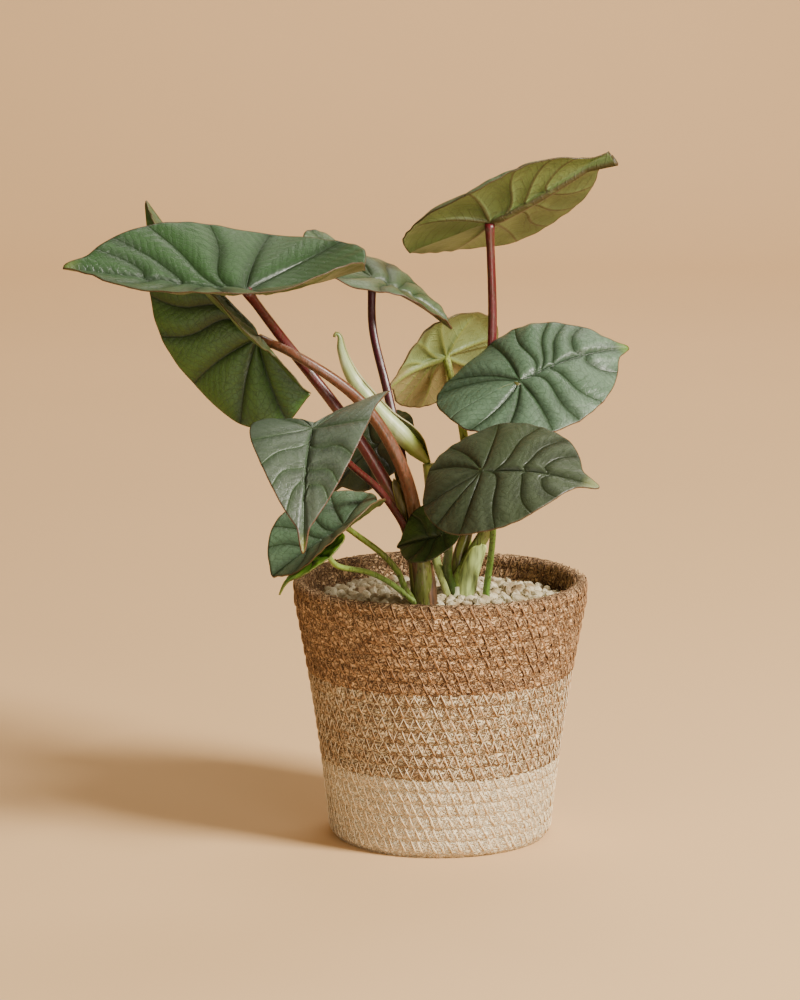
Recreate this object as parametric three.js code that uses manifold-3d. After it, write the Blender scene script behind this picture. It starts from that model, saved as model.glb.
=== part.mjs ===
// A potted silver nebula alocasia in a coiled-rope basket.
// Millimetres, +Z up. The origin is the centre of the basket's underside, and +Y points to the back.
import * as THREE from 'three';
import { mergeVertices } from 'three/addons/utils/BufferGeometryUtils.js';
import Module from 'manifold-3d';

const wasm = await Module();
wasm.setup();

// The clearance between pieces that rest on or stand in each other.
const GAP = 0.3;

// The basket: one rope, coiled from the floor up to the rim in twenty and a half rows.
const BASKET_HEIGHT = 142.3;
const ROPE_PITCH = BASKET_HEIGHT / 20.5;
const ROPE_RELIEF = 0.9;
const WALL = 6.6;
const SOLE_RADIUS = 56.5;
const FOOT_RADIUS = 61.2;
const FOOT_HEIGHT = 7;
const RIM_RADIUS = 80.2;
const WALL_SLOPE = 0.1;
const WALL_FLARE = 0.0004;
const CREAM_TOP = 6.5 * ROPE_PITCH;
const MIXED_TOP = 13.5 * ROPE_PITCH;
const BASKET_SEGMENTS = 36;

// What the basket holds: a thin liner, the soil in it and the pumice over both.
const LINER_FLOOR_RADIUS = 52;
const LINER_TOP_RADIUS = 69;
const LINER_TOP = 122;
const LINER_WALL = 1.2;
const SOIL_GAP = 0.4;
const PUMICE_EDGE_RADIUS = 71.8;
const PUMICE_FOOT_RADIUS = 69.6;
const PUMICE_EDGE = 130;
const PUMICE_DOME = 4;
const PEBBLE_RINGS = 16;
const PEBBLE_RISE = 1.5;
const PEBBLE_DIP = 1.1;
const PEBBLE_SEED = 7;
const HOLE_MARGIN = 3.2;

// The leaves: what all blades and stalks share.
const BLADE_THICKNESS = 0.8;
const BLADE_SPOKES = 24;
const BLADE_RINGS = 5;
const SMALL_LEAF = 50;
const SMALL_SPOKES = 20;
const SMALL_RINGS = 4;
const TIP_SPREAD = 0.15;
const NOTCH_SPREAD = 0.34;
const SHOULDER_SPREAD = 0.8;
const EAR_ANGLE = 2.45;
const EAR_SPREAD = 0.3;
const HOOK_START = 0.9;
const CURL_START = 0.78;
const STALK_SIDES = 8;
const STALK_STEPS = 8;
const SOCKET_RINGS = 2;
const SOCKET_DEPTH = 6;
const STALK_OVERRUN = 2;

// The two crowns that the stalks grow from: points from below ground to where the stalks part.
const CROWNS = {
  left: { route: [[-7, -25, 98], [-9, -25, 134], [-12, -25, 158]], radii: [5, 6.8, 6.2] },
  right: { route: [[9, 0, 98], [10, 0, 134], [14, 0, 152]], radii: [5, 7.2, 5.6] },
};

// Each leaf. at is where its blade meets its stalk. heading (from +X), rise and roll turn the blade,
// in degrees. tip and lobes are its reach from the stalk, half its half width; taper, slim, drip,
// notch and ear shape its outline. fold and cup lift its left and right halves, droop bends its tip
// and base down, curl turns its left and right margins down, hook drops the very tip, and wave is
// [height, count, phase]. route holds the stalk's points below the blade, girth its two radii, and
// fused is the share of its length that is one with the crown.
const LEAVES = [
  {
    name: 'upper_left', at: [-102.6, -64, 308.3], heading: 185, rise: 5, roll: -15,
    tip: 85, lobes: 75, half: 51, taper: 0.06, slim: 0.04, drip: 11, notch: 11,
    fold: [22, 19], cup: [-7, -3], droop: [-6, -38], twist: -13, curl: [-21, -5], wave: [0.9, 6, -8],
    crown: 'left', girth: [4.2, 2.3], fused: 0.3, tint: 0x5d7a62, stalk: 0x7a1f2a,
    route: [[-10, -25, 128], [-17, -26, 172], [-35, -28, 209], [-55, -31, 240], [-84, -34.5, 278]],
  },
  {
    name: 'back_left', at: [-98.2, -33, 279], heading: 150, rise: 38, roll: -118,
    tip: 94, lobes: 53, half: 45, taper: 0.2, slim: 0.2, drip: 10, notch: 9, ear: [0, -0.45],
    fold: [41, 41], cup: [-11, -7], droop: [12, -7], twist: -4, curl: [0, 0], wave: [1.2, 6, 15],
    crown: 'left', girth: [4.8, 2.1], fused: 0.28, tint: 0x3a4a2a, stalk: 0x8a4a30,
    route: [[-9, -26, 130], [-12, -29, 170], [-21, -33, 209], [-43, -38, 245.5], [-79, -43, 272]],
  },
  {
    name: 'front_hanging', at: [-67.7, -80, 237.7], heading: 264, rise: -15, roll: 3,
    tip: 70, lobes: 35, half: 30, taper: 0.52, slim: 0.1, drip: 12, notch: 26, ear: [0.42, -0.2],
    fold: [19, 9], cup: [-5, -9], droop: [54, 35], twist: -12, curl: [8, 4], wave: [0.8, 6, -30],
    crown: 'left', girth: [2.4, 1.6], fused: 0.42, tint: 0x7c8f80, stalk: 0x5c1c26,
    route: [[-11, -27, 132], [-16, -32, 168], [-31, -43, 196], [-48, -60, 215], [-58, -71, 227]],
  },
  {
    name: 'lower_left', at: [-51.9, -55, 181.7], heading: 195, rise: -28, roll: -6,
    tip: 45, lobes: 29, half: 34, taper: 0.03, slim: 0.16, drip: 2, notch: 7,
    fold: [16, 12], cup: [10, 11], droop: [10, 2], twist: -19, curl: [-9, -9], wave: [0.5, 6, 34],
    crown: 'left', girth: [1.8, 1.5], fused: 0.34, tint: 0x4f5a50, stalk: 0x6f7a3a,
    route: [[-11, -27, 130], [-19, -31, 142], [-23, -34, 152], [-31, -39, 162.5], [-46, -49, 176]],
  },
  {
    name: 'small_left', at: [-61.4, -72, 170.9], heading: 204, rise: -33, roll: -1,
    tip: 26, lobes: 14, half: 14, taper: 0.08, slim: 0.14, drip: 8, notch: 0.5, hook: 4,
    fold: [9, -6], cup: [0, -30], droop: [-2, -19], twist: -3, curl: [0, 0], wave: [0.2, 6, 46],
    crown: 'left', girth: [1.6, 1.4], fused: 0.26, tint: 0x4c8a3a, stalk: 0x7fa05a,
    route: [[-9, -27, 130], [-22, -33, 142], [-30, -39, 149], [-39, -46, 154.5], [-56, -64, 162]],
  },
  {
    name: 'upper_middle', at: [-37.4, 25, 304.7], heading: -2, rise: -18, roll: 15,
    tip: 47, lobes: 50, half: 27.5, taper: 0.1, slim: 0.15, drip: 6, notch: 9,
    fold: [15, 15], cup: [-32, -14], droop: [28, -17], twist: -9, curl: [-12, -13], wave: [1.4, 6, -11],
    crown: 'left', girth: [3.2, 2.1], fused: 0.27, tint: 0x66766a, stalk: 0x3c1524,
    route: [[-9, -22, 130], [-16, -18, 172], [-21, -8, 209], [-29, 4, 245], [-37, 18, 278]],
  },
  {
    name: 'behind_stalks', at: [-31.4, 30, 214.2], heading: 178, rise: -37, roll: -23,
    tip: 35, lobes: 20.5, half: 29, taper: 0.02, slim: 0.2, drip: 10, notch: 0.5,
    fold: [2, 5], cup: [-16, 10], droop: [15, 2], twist: -16, curl: [-5, -1], wave: [1, 6, 13],
    crown: 'left', girth: [2.6, 1.7], fused: 0.34, tint: 0x3c4a34, stalk: 0x5a6138,
    route: [[-9, -22, 130], [-16, -12, 164], [-21, 8, 184], [-24, 25, 198]],
  },
  {
    name: 'small_base', at: [1.3, -54.2, 176.4], heading: 153, rise: -13, roll: -41,
    tip: 28, lobes: 11, half: 19, taper: 0.05, slim: 0.33, drip: 3, notch: 0.5,
    fold: [8, 25], cup: [-1, 7], droop: [11, -1], twist: -4, curl: [0, 0], wave: [0.3, 6, 16],
    crown: 'right', girth: [2.6, 2], fused: 0.28, tint: 0x2f4a26, stalk: 0x86a45c,
    route: [[8, -3, 132], [4.6, -6, 143], [3.4, -11, 151], [4, -24, 160], [4, -40, 168.5]],
  },
  {
    name: 'round_middle', at: [3.3, 54, 257.4], heading: -149, rise: -8, roll: 61,
    tip: 41, lobes: 35, half: 33.5, taper: -0.02, slim: 0.13, drip: 7, notch: 2,
    fold: [5, 3], cup: [-17, -4], droop: [29, 3], twist: -2, curl: [35, -3], wave: [0.6, 6, 81],
    crown: 'right', girth: [3.4, 1.9], fused: 0.3, tint: 0x8a8f58, stalk: 0x9aa648,
    route: [[11, 4, 130], [14, 9, 158], [15, 20, 197], [13, 29, 217], [8, 41, 240]],
  },
  {
    name: 'right_silver', at: [42.1, -15, 253.8], heading: 18, rise: 26, roll: 33,
    tip: 61, lobes: 47, half: 42.5, taper: 0.1, slim: 0.2, drip: 10, notch: 3, ear: [0.05, -0.07],
    fold: [-2, 5], cup: [-23, -13], droop: [31, -3], twist: 18, curl: [1, -5], wave: [0.9, 6, 20],
    crown: 'right', girth: [4, 2.2], fused: 0.3, tint: 0x86a093, stalk: 0x6e5a34,
    route: [[12, -1, 130], [17, -2, 154], [25, -4, 170], [31, -6, 193], [37, -10, 223]],
  },
  {
    name: 'right_lower', at: [20.3, -86, 216.2], heading: -29, rise: 11, roll: 26,
    tip: 55, lobes: 38, half: 42.5, taper: -0.03, slim: 0.28, drip: 11, notch: 0.5,
    fold: [13, -9], cup: [-23, -22], droop: [28, 18], twist: -10, curl: [-7, -8], wave: [0.8, 6, 210],
    crown: null, girth: [1.9, 1.6], fused: 0, tint: 0x62706a, stalk: 0x7d9a58,
    route: [[24.5, -6, 112], [25, -6, 136], [27, -14, 155], [28, -33, 178], [25.5, -60, 200]],
  },
  {
    name: 'top_right', at: [26.8, 27, 335.1], heading: -18, rise: 25, roll: -38,
    tip: 67, lobes: 51, half: 39, taper: 0.1, slim: 0.09, drip: 13, notch: 0.5, hook: 30,
    fold: [25, 15], cup: [-18, -42], droop: [-11, -9], twist: -9, curl: [-8, 45], wave: [0.9, 6, 31],
    crown: 'right', girth: [3.4, 2.2], fused: 0.17, tint: 0x7c8a48, stalk: 0x8a2430,
    route: [[10, 2, 130], [10, 3, 152], [15, 5, 169], [24.5, 20, 222], [28.5, 26, 275]],
  },
];

// The youngest leaf, still rolled up: its body's points from the curled tip down to its stalk.
const ROLLED = {
  tip: [
    [-57, -14, 278], [-54.5, -14, 272], [-46, -13, 258], [-33, -12, 239], [-19, -10, 223], [-6.5, -8, 207],
  ],
  radii: [4, 5.8, 5.2, 3.9, 2.2, 1],
  overlap: 0.24,
  crown: 'right',
  route: [[5.5, -4, 130], [1.8, -6, 141], [-1.7, -8, 151], [-3.2, -9, 160], [-4.7, -9, 179], [-5.6, -8, 194]],
  girth: [2.3, 2.9],
  fused: 0.11,
};

// Seeded random numbers from 0 to 1.
function seeded(seed) {
  let state = seed;
  return () => {
    state = (state * 1664525 + 1013904223) % 4294967296;
    return state / 4294967296;
  };
}

function material(color, roughness, metalness = 0) {
  return new THREE.MeshStandardMaterial({ color, roughness, metalness });
}

// Solids and their joins and cuts.

function closed(geometry) {
  geometry.deleteAttribute('normal');
  geometry.deleteAttribute('uv');
  return mergeVertices(geometry, 1e-4);
}

function toSolid(geometry) {
  const merged = closed(geometry.clone());
  const vertProperties = new Float32Array(merged.attributes.position.array);
  const triVerts = new Uint32Array(merged.index.array);
  return new wasm.Manifold(new wasm.Mesh({ numProp: 3, vertProperties, triVerts }));
}

function toGeometry(solid) {
  const mesh = solid.getMesh();
  const geometry = new THREE.BufferGeometry();
  geometry.setAttribute('position', new THREE.BufferAttribute(new Float32Array(mesh.vertProperties), 3));
  geometry.setIndex(Array.from(mesh.triVerts));
  return geometry;
}

// A profile of [radius, height] pairs turned about +Z.
function turned(profile, segments = BASKET_SEGMENTS) {
  const points = profile.map(([radius, height]) => new THREE.Vector2(radius, height));
  return new THREE.LatheGeometry(points, segments).rotateX(Math.PI / 2);
}

// The basket's wall, as the outer radius of its rope at a height.
function wallRadius(height) {
  const rise = Math.max(height - FOOT_HEIGHT, 0);
  return Math.min(FOOT_RADIUS + WALL_SLOPE * rise + WALL_FLARE * rise * rise, RIM_RADIUS);
}

// The rope rows between two heights, outside from bottom to top and then inside back down.
function ropeRows(low, high) {
  const rows = Math.round((high - low) / ROPE_PITCH);
  const outside = [];
  const inside = [];
  for (let row = 0; row <= rows; row += 1) {
    const groove = high - (rows - row) * ROPE_PITCH;
    outside.push([wallRadius(groove) - ROPE_RELIEF, groove]);
    inside.push([wallRadius(groove) - WALL, groove]);
    if (row < rows) {
      const crest = groove + ROPE_PITCH / 2;
      outside.push([wallRadius(crest), crest]);
    }
  }
  return { outside, inside: inside.reverse() };
}

function ropeBand(low, high) {
  const { outside, inside } = ropeRows(low, high);
  const start = outside[0];
  return turned([...outside, ...inside, start]);
}

// The lowest band carries the coiled floor and turns up into the wall half a row above the sole.
function ropeFoot() {
  const firstGroove = CREAM_TOP - 6 * ROPE_PITCH;
  const { outside, inside } = ropeRows(firstGroove, CREAM_TOP);
  const innerWall = inside.filter(([, height]) => height > ROPE_PITCH);
  const corner = [[0, 0], [SOLE_RADIUS, 0], [SOLE_RADIUS + 3, 1.1]];
  const floor = [[wallRadius(ROPE_PITCH) - WALL, ROPE_PITCH], [0, ROPE_PITCH]];
  return turned([...corner, ...outside, ...innerWall, ...floor]);
}

function linerRadius(height) {
  const share = (height - ROPE_PITCH) / (LINER_TOP - ROPE_PITCH);
  return LINER_FLOOR_RADIUS + share * (LINER_TOP_RADIUS - LINER_FLOOR_RADIUS);
}

function liner() {
  const floor = ROPE_PITCH + LINER_WALL;
  return turned([
    [0, ROPE_PITCH],
    [linerRadius(ROPE_PITCH), ROPE_PITCH],
    [linerRadius(LINER_TOP), LINER_TOP],
    [linerRadius(LINER_TOP) - LINER_WALL, LINER_TOP],
    [linerRadius(floor) - LINER_WALL, floor],
    [0, floor],
  ]);
}

function soil() {
  const floor = ROPE_PITCH + LINER_WALL;
  const inset = LINER_WALL + SOIL_GAP;
  return turned([
    [0, floor],
    [linerRadius(floor) - inset, floor],
    [linerRadius(LINER_TOP) - inset, LINER_TOP],
    [0, LINER_TOP],
  ]);
}

// Pumice gravel: rings of points in a honeycomb order, where every third point is a pebble's top.
const HONEYCOMB = [[1, 0], [0, 1], [-1, 1], [-1, 0], [0, -1], [1, -1]];

function pebbleHeight(sector, step, ring, random) {
  const along = HONEYCOMB[sector];
  const across = HONEYCOMB[(sector + 2) % 6];
  const column = ring * along[0] + step * across[0];
  const row = ring * along[1] + step * across[1];
  const isTop = (((column - row) % 3) + 3) % 3 === 0;
  return isTop ? PEBBLE_RISE * (0.5 + random()) : -PEBBLE_DIP * random();
}

function pumiceGravel() {
  const random = seeded(PEBBLE_SEED);
  const positions = [0, 0, PUMICE_EDGE + PUMICE_DOME];
  const index = [];
  const ringStart = [0];
  for (let ring = 1; ring <= PEBBLE_RINGS; ring += 1) {
    ringStart.push(positions.length / 3);
    const isRim = ring === PEBBLE_RINGS;
    for (let spot = 0; spot < 6 * ring; spot += 1) {
      const sector = Math.floor(spot / ring);
      const relief = pebbleHeight(sector, spot - sector * ring, ring, random);
      const stray = isRim ? 0 : (random() - 0.5) * 0.3;
      const angle = ((spot + stray) / (6 * ring)) * 2 * Math.PI;
      const share = (ring + stray) / PEBBLE_RINGS;
      const radius = share * PUMICE_EDGE_RADIUS;
      const height = PUMICE_EDGE + PUMICE_DOME * (1 - share * share) + relief;
      positions.push(radius * Math.cos(angle), radius * Math.sin(angle), height);
    }
  }
  for (let ring = 1; ring <= PEBBLE_RINGS; ring += 1) {
    const inner = ring - 1;
    const innerSpot = (spot) => (inner === 0 ? 0 : ringStart[inner] + (spot % (6 * inner)));
    const outerSpot = (spot) => ringStart[ring] + (spot % (6 * ring));
    for (let sector = 0; sector < 6; sector += 1) {
      for (let step = 0; step < ring; step += 1) {
        const outer = sector * ring + step;
        const near = sector * inner + step;
        index.push(innerSpot(near), outerSpot(outer), outerSpot(outer + 1));
        if (step < inner) {
          index.push(innerSpot(near), outerSpot(outer + 1), innerSpot(near + 1));
        }
      }
    }
  }
  const rim = ringStart[PEBBLE_RINGS];
  const rimCount = 6 * PEBBLE_RINGS;
  const foot = positions.length / 3;
  for (let spot = 0; spot < rimCount; spot += 1) {
    const angle = (spot / rimCount) * 2 * Math.PI;
    positions.push(PUMICE_FOOT_RADIUS * Math.cos(angle), PUMICE_FOOT_RADIUS * Math.sin(angle), LINER_TOP);
  }
  const centre = positions.length / 3;
  positions.push(0, 0, LINER_TOP);
  for (let spot = 0; spot < rimCount; spot += 1) {
    const next = (spot + 1) % rimCount;
    index.push(rim + spot, foot + spot, foot + next);
    index.push(rim + spot, foot + next, rim + next);
    index.push(centre, foot + next, foot + spot);
  }
  const geometry = new THREE.BufferGeometry();
  geometry.setAttribute('position', new THREE.Float32BufferAttribute(positions, 3));
  geometry.setIndex(index);
  return geometry;
}

// Stalks and crowns: a cylinder bent along a smooth route, with a radius for each share of it.

function smoothRoute(points) {
  return new THREE.CatmullRomCurve3(points.map((point) => new THREE.Vector3(...point)));
}

function bentStalk(curve, from, to, radiusAt, steps = STALK_STEPS, sides = STALK_SIDES) {
  const geometry = new THREE.CylinderGeometry(1, 1, 1, sides, steps);
  const spots = geometry.attributes.position;
  const back = new THREE.Vector3(0, 1, 0);
  for (let i = 0; i < spots.count; i += 1) {
    const share = from + (spots.getY(i) + 0.5) * (to - from);
    const along = curve.getTangentAt(share);
    const side = new THREE.Vector3().crossVectors(along, back).normalize();
    const front = new THREE.Vector3().crossVectors(side, along);
    const radius = radiusAt(share);
    const spot = curve.getPointAt(share);
    spot.addScaledVector(side, spots.getX(i) * radius);
    spot.addScaledVector(front, spots.getZ(i) * radius);
    spots.setXYZ(i, spot.x, spot.y, spot.z);
  }
  return closed(geometry);
}

function between(values, share) {
  const place = share * (values.length - 1);
  const low = Math.min(Math.floor(place), values.length - 2);
  return THREE.MathUtils.lerp(values[low], values[low + 1], place - low);
}

// Leaf blades: a heart-shaped disc of rings and spokes about the stalk, then folded and bent.

function outlinePoint(leaf, angle) {
  const middle = (leaf.tip - leaf.lobes) / 2;
  const reach = (leaf.tip + leaf.lobes) / 2;
  const shoulder = leaf.slim * Math.exp(-((angle / SHOULDER_SPREAD) ** 2));
  const drip = leaf.drip * Math.exp(-((angle / TIP_SPREAD) ** 2));
  const notch = leaf.notch * Math.exp(-(((Math.PI - angle) / NOTCH_SPREAD) ** 2));
  return {
    along: middle + reach * Math.cos(angle) + drip + notch,
    across: leaf.half * Math.sin(angle) * (1 - leaf.taper * Math.cos(angle)) * (1 - shoulder),
  };
}

// The point at a share of the way from the stalk to the margin, on side 0 (left) or 1 (right).
function foldedPoint(leaf, share, angle, side) {
  const ears = leaf.ear ?? [0, 0];
  const ear = 1 + ears[side] * Math.exp(-(((angle - EAR_ANGLE) / EAR_SPREAD) ** 2));
  const flat = outlinePoint(leaf, angle);
  const along = flat.along * share * ear;
  const across = flat.across * share * ear;
  const sign = side === 0 ? 1 : -1;

  const fold = THREE.MathUtils.degToRad(leaf.fold[side]);
  const cup = THREE.MathUtils.degToRad(leaf.cup[side] || 0.01) / leaf.half;
  const spread = (Math.sin(fold + cup * across) - Math.sin(fold)) / cup;
  const [waveHeight, waveCount, wavePhase] = leaf.wave;
  const phase = THREE.MathUtils.degToRad(wavePhase) + side * 1.3;
  const ripple = waveHeight * share ** 3 * Math.sin(waveCount * angle + phase) * Math.sqrt(Math.sin(angle));
  const lift = (Math.cos(fold) - Math.cos(fold + cup * across)) / cup + ripple;

  const twist = THREE.MathUtils.degToRad(leaf.twist) * (along / leaf.tip);
  const sideways = sign * spread * Math.cos(twist) - lift * Math.sin(twist);
  const up = sign * spread * Math.sin(twist) + lift * Math.cos(twist);

  const isTip = along > 0;
  const droop = THREE.MathUtils.degToRad(leaf.droop[isTip ? 0 : 1] || 0.01);
  const bend = droop / (isTip ? leaf.tip : leaf.lobes);
  const turn = bend * along;
  const hookRun = Math.max(along - HOOK_START * leaf.tip, 0) / ((1 - HOOK_START) * leaf.tip + leaf.drip);
  const hook = (leaf.hook ?? 0) * hookRun * hookRun;
  return new THREE.Vector3(
    Math.sin(turn) / bend + Math.sin(turn) * up,
    sideways,
    -(1 - Math.cos(turn)) / bend + Math.cos(turn) * up - hook,
  );
}

// The same with the margin outside CURL_START turned down about its own edge.
function bladePoint(leaf, share, angle, side) {
  const curl = THREE.MathUtils.degToRad(leaf.curl[side]) * Math.sin(angle) ** 0.7;
  if (share <= CURL_START || Math.abs(curl) < 0.01) {
    return foldedPoint(leaf, share, angle, side);
  }
  const step = 0.001;
  const start = foldedPoint(leaf, CURL_START, angle, side);
  const outward = start.clone().sub(foldedPoint(leaf, CURL_START - step, angle, side));
  const speed = outward.length() / step;
  const onward = foldedPoint(leaf, CURL_START, angle + step, side).sub(start);
  const normal = new THREE.Vector3().crossVectors(outward, onward).normalize();
  normal.multiplyScalar(side === 0 ? 1 : -1);
  outward.normalize();
  const bend = curl / ((1 - CURL_START) * speed);
  const turn = bend * (share - CURL_START) * speed;
  start.addScaledVector(outward, Math.sin(turn) / bend);
  return start.addScaledVector(normal, -(1 - Math.cos(turn)) / bend);
}

function bladeGrid(leaf) {
  const isSmall = Math.max(leaf.tip, leaf.half) < SMALL_LEAF;
  if (isSmall) {
    return { spokes: SMALL_SPOKES, rings: SMALL_RINGS };
  }
  return { spokes: BLADE_SPOKES, rings: BLADE_RINGS };
}

function bladeSheet(leaf, ringsUsed) {
  const { spokes, rings } = bladeGrid(leaf);
  const positions = [0, 0, 0];
  const index = [];
  for (let ring = 1; ring <= ringsUsed; ring += 1) {
    for (let spoke = 0; spoke < spokes; spoke += 1) {
      const turn = (spoke / spokes) * 2 * Math.PI;
      const side = turn <= Math.PI ? 0 : 1;
      const angle = THREE.MathUtils.clamp(side === 0 ? turn : 2 * Math.PI - turn, 1e-4, Math.PI - 1e-4);
      positions.push(...bladePoint(leaf, ring / rings, angle, side).toArray());
    }
  }
  const at = (ring, spoke) => (ring === 0 ? 0 : 1 + (ring - 1) * spokes + (spoke % spokes));
  for (let spoke = 0; spoke < spokes; spoke += 1) {
    index.push(0, at(1, spoke), at(1, spoke + 1));
    for (let ring = 1; ring < ringsUsed; ring += 1) {
      index.push(at(ring, spoke), at(ring + 1, spoke), at(ring + 1, spoke + 1));
      index.push(at(ring, spoke), at(ring + 1, spoke + 1), at(ring, spoke + 1));
    }
  }
  const sheet = new THREE.BufferGeometry();
  sheet.setAttribute('position', new THREE.Float32BufferAttribute(positions, 3));
  sheet.setIndex(index);
  sheet.computeVertexNormals();
  return sheet;
}

// The sheet given a thickness: below and above are measured from it along its normals.
function bladeSolid(leaf, ringsUsed, below, above) {
  const { spokes } = bladeGrid(leaf);
  const sheet = bladeSheet(leaf, ringsUsed);
  const count = sheet.attributes.position.count;
  const positions = [];
  for (const offset of [above, -below]) {
    for (let i = 0; i < count; i += 1) {
      const spot = new THREE.Vector3().fromBufferAttribute(sheet.attributes.position, i);
      const normal = new THREE.Vector3().fromBufferAttribute(sheet.attributes.normal, i);
      positions.push(...spot.addScaledVector(normal, offset).toArray());
    }
  }
  const top = Array.from(sheet.index.array);
  const index = [...top];
  for (let i = 0; i < top.length; i += 3) {
    index.push(top[i] + count, top[i + 2] + count, top[i + 1] + count);
  }
  const margin = 1 + (ringsUsed - 1) * spokes;
  for (let spoke = 0; spoke < spokes; spoke += 1) {
    const here = margin + spoke;
    const next = margin + ((spoke + 1) % spokes);
    index.push(here, here + count, next + count);
    index.push(here, next + count, next);
  }
  const geometry = new THREE.BufferGeometry();
  geometry.setAttribute('position', new THREE.Float32BufferAttribute(positions, 3));
  geometry.setIndex(index);
  return geometry;
}

// The blade's own frame: x to the tip, y to its left, z out of its upper face.
function bladeFrame(leaf) {
  const heading = THREE.MathUtils.degToRad(leaf.heading);
  const rise = THREE.MathUtils.degToRad(leaf.rise);
  const roll = THREE.MathUtils.degToRad(leaf.roll);
  const turn = new THREE.Matrix4().makeRotationZ(heading);
  turn.multiply(new THREE.Matrix4().makeRotationY(-rise));
  turn.multiply(new THREE.Matrix4().makeRotationX(roll));
  return turn.setPosition(...leaf.at);
}

const alocasia = new THREE.Group();

function add(name, geometry, finish) {
  const mesh = new THREE.Mesh(geometry, finish);
  mesh.name = name;
  alocasia.add(mesh);
  return mesh;
}

// The stalk ends a little past its blade's mid surface and is cut back to GAP below the blade.
function stalkCurve(leaf) {
  const end = new THREE.Vector3(...leaf.at);
  const last = new THREE.Vector3(...leaf.route.at(-1));
  const overrun = end.clone().sub(last).setLength(STALK_OVERRUN);
  return smoothRoute([...leaf.route, end.add(overrun).toArray()]);
}

function stalkRadius(leaf) {
  return (share) => THREE.MathUtils.lerp(leaf.girth[0], leaf.girth[1], share);
}

function freeStalk(leaf) {
  const curve = stalkCurve(leaf);
  const start = leaf.fused > 0 ? leaf.fused + GAP / curve.getLength() : 0;
  const stalk = toSolid(bentStalk(curve, start, 1, stalkRadius(leaf)));
  const below = BLADE_THICKNESS / 2 + GAP;
  const socket = bladeSolid(leaf, SOCKET_RINGS, below, SOCKET_DEPTH).applyMatrix4(bladeFrame(leaf));
  return toGeometry(stalk.subtract(toSolid(socket)));
}

function crownSolid(crownName, stalks) {
  const { route, radii } = CROWNS[crownName];
  const core = bentStalk(smoothRoute(route), 0, 1, (share) => between(radii, share), 6, 12);
  let solid = toSolid(core);
  for (const stalk of stalks) {
    solid = solid.add(toSolid(bentStalk(stalk.curve, 0, stalk.fused, stalk.radius, 5)));
  }
  return solid;
}

// Plain round holes for the crown, and for the one stalk that stands by itself.
function crownHole(crownName) {
  const { route, radii } = CROWNS[crownName];
  const widened = (share) => between(radii, share) + HOLE_MARGIN;
  return toSolid(bentStalk(smoothRoute(route), 0, 1, widened, 6, 16));
}

function stalkHole(leaf) {
  const [x, y, z] = leaf.route[0];
  const radius = leaf.girth[0] + 1;
  const depth = 2 * (BASKET_HEIGHT - z);
  const plug = new THREE.CylinderGeometry(radius, radius, depth, 12);
  return toSolid(plug.rotateX(Math.PI / 2).translate(x, y, z - GAP + depth / 2));
}

// The rolled leaf stands on its stalk along one route. Its outer layer ends in a step along its length.
const rolledRoute = smoothRoute([...ROLLED.route, ...[...ROLLED.tip].reverse()]);
const rolledStart = ROLLED.route.length / (ROLLED.route.length + ROLLED.tip.length - 1);
const rolledShare = lengthShare(rolledRoute, rolledStart);

// The share of a curve's length that lies below one of its points.
function lengthShare(curve, pointShare) {
  const divisions = 400;
  const lengths = curve.getLengths(divisions);
  return lengths[Math.round(pointShare * divisions)] / lengths[divisions];
}

function rolledBody() {
  const gap = GAP / rolledRoute.getLength();
  const geometry = new THREE.CylinderGeometry(1, 1, 1, 12, 14);
  const spots = geometry.attributes.position;
  const back = new THREE.Vector3(0, 1, 0);
  for (let i = 0; i < spots.count; i += 1) {
    const rise = spots.getY(i) + 0.5;
    const share = THREE.MathUtils.lerp(rolledShare + gap, 1, rise);
    const turn = Math.atan2(spots.getZ(i), spots.getX(i));
    const layer = 1 - ROLLED.overlap * ((turn + Math.PI) / (2 * Math.PI));
    const along = rolledRoute.getTangentAt(share);
    const side = new THREE.Vector3().crossVectors(along, back).normalize();
    const front = new THREE.Vector3().crossVectors(side, along);
    const radius = between(ROLLED.radii, rise) * layer;
    const spot = rolledRoute.getPointAt(share);
    spot.addScaledVector(side, spots.getX(i) * radius);
    spot.addScaledVector(front, spots.getZ(i) * radius);
    spots.setXYZ(i, spot.x, spot.y, spot.z);
  }
  return closed(geometry);
}

// The basket and what it holds.
add('basket_rope_cream', ropeFoot(), material(0xe2cfae, 0.9));
add('basket_rope_mixed', ropeBand(CREAM_TOP, MIXED_TOP), material(0xc8a578, 0.9));
add('basket_rope_brown', ropeBand(MIXED_TOP, BASKET_HEIGHT), material(0xa87a50, 0.9));
add('liner', liner(), material(0x2c2a28, 0.6));

// The leaves, each with its blade and its stalk.
const stalksOf = { left: [], right: [] };
for (const leaf of LEAVES) {
  const half = BLADE_THICKNESS / 2;
  const shape = bladeSolid(leaf, bladeGrid(leaf).rings, half, half);
  const blade = add(`blade_${leaf.name}`, shape, material(leaf.tint, 0.45));
  bladeFrame(leaf).decompose(blade.position, blade.quaternion, blade.scale);
  add(`stalk_${leaf.name}`, freeStalk(leaf), material(leaf.stalk, 0.4));
  if (leaf.crown) {
    stalksOf[leaf.crown].push({ curve: stalkCurve(leaf), fused: leaf.fused, radius: stalkRadius(leaf) });
  }
}

add('leaf_rolled', rolledBody(), material(0xb9c79a, 0.45));
const rolledGirth = (share) => THREE.MathUtils.lerp(ROLLED.girth[0], ROLLED.girth[1], share / rolledShare);
const rolledFoot = ROLLED.fused + GAP / rolledRoute.getLength();
const rolledStalk = bentStalk(rolledRoute, rolledFoot, rolledShare, rolledGirth);
add('stalk_rolled', rolledStalk, material(0x8fa85c, 0.4));
stalksOf[ROLLED.crown].push({ curve: rolledRoute, fused: ROLLED.fused, radius: rolledGirth });

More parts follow.
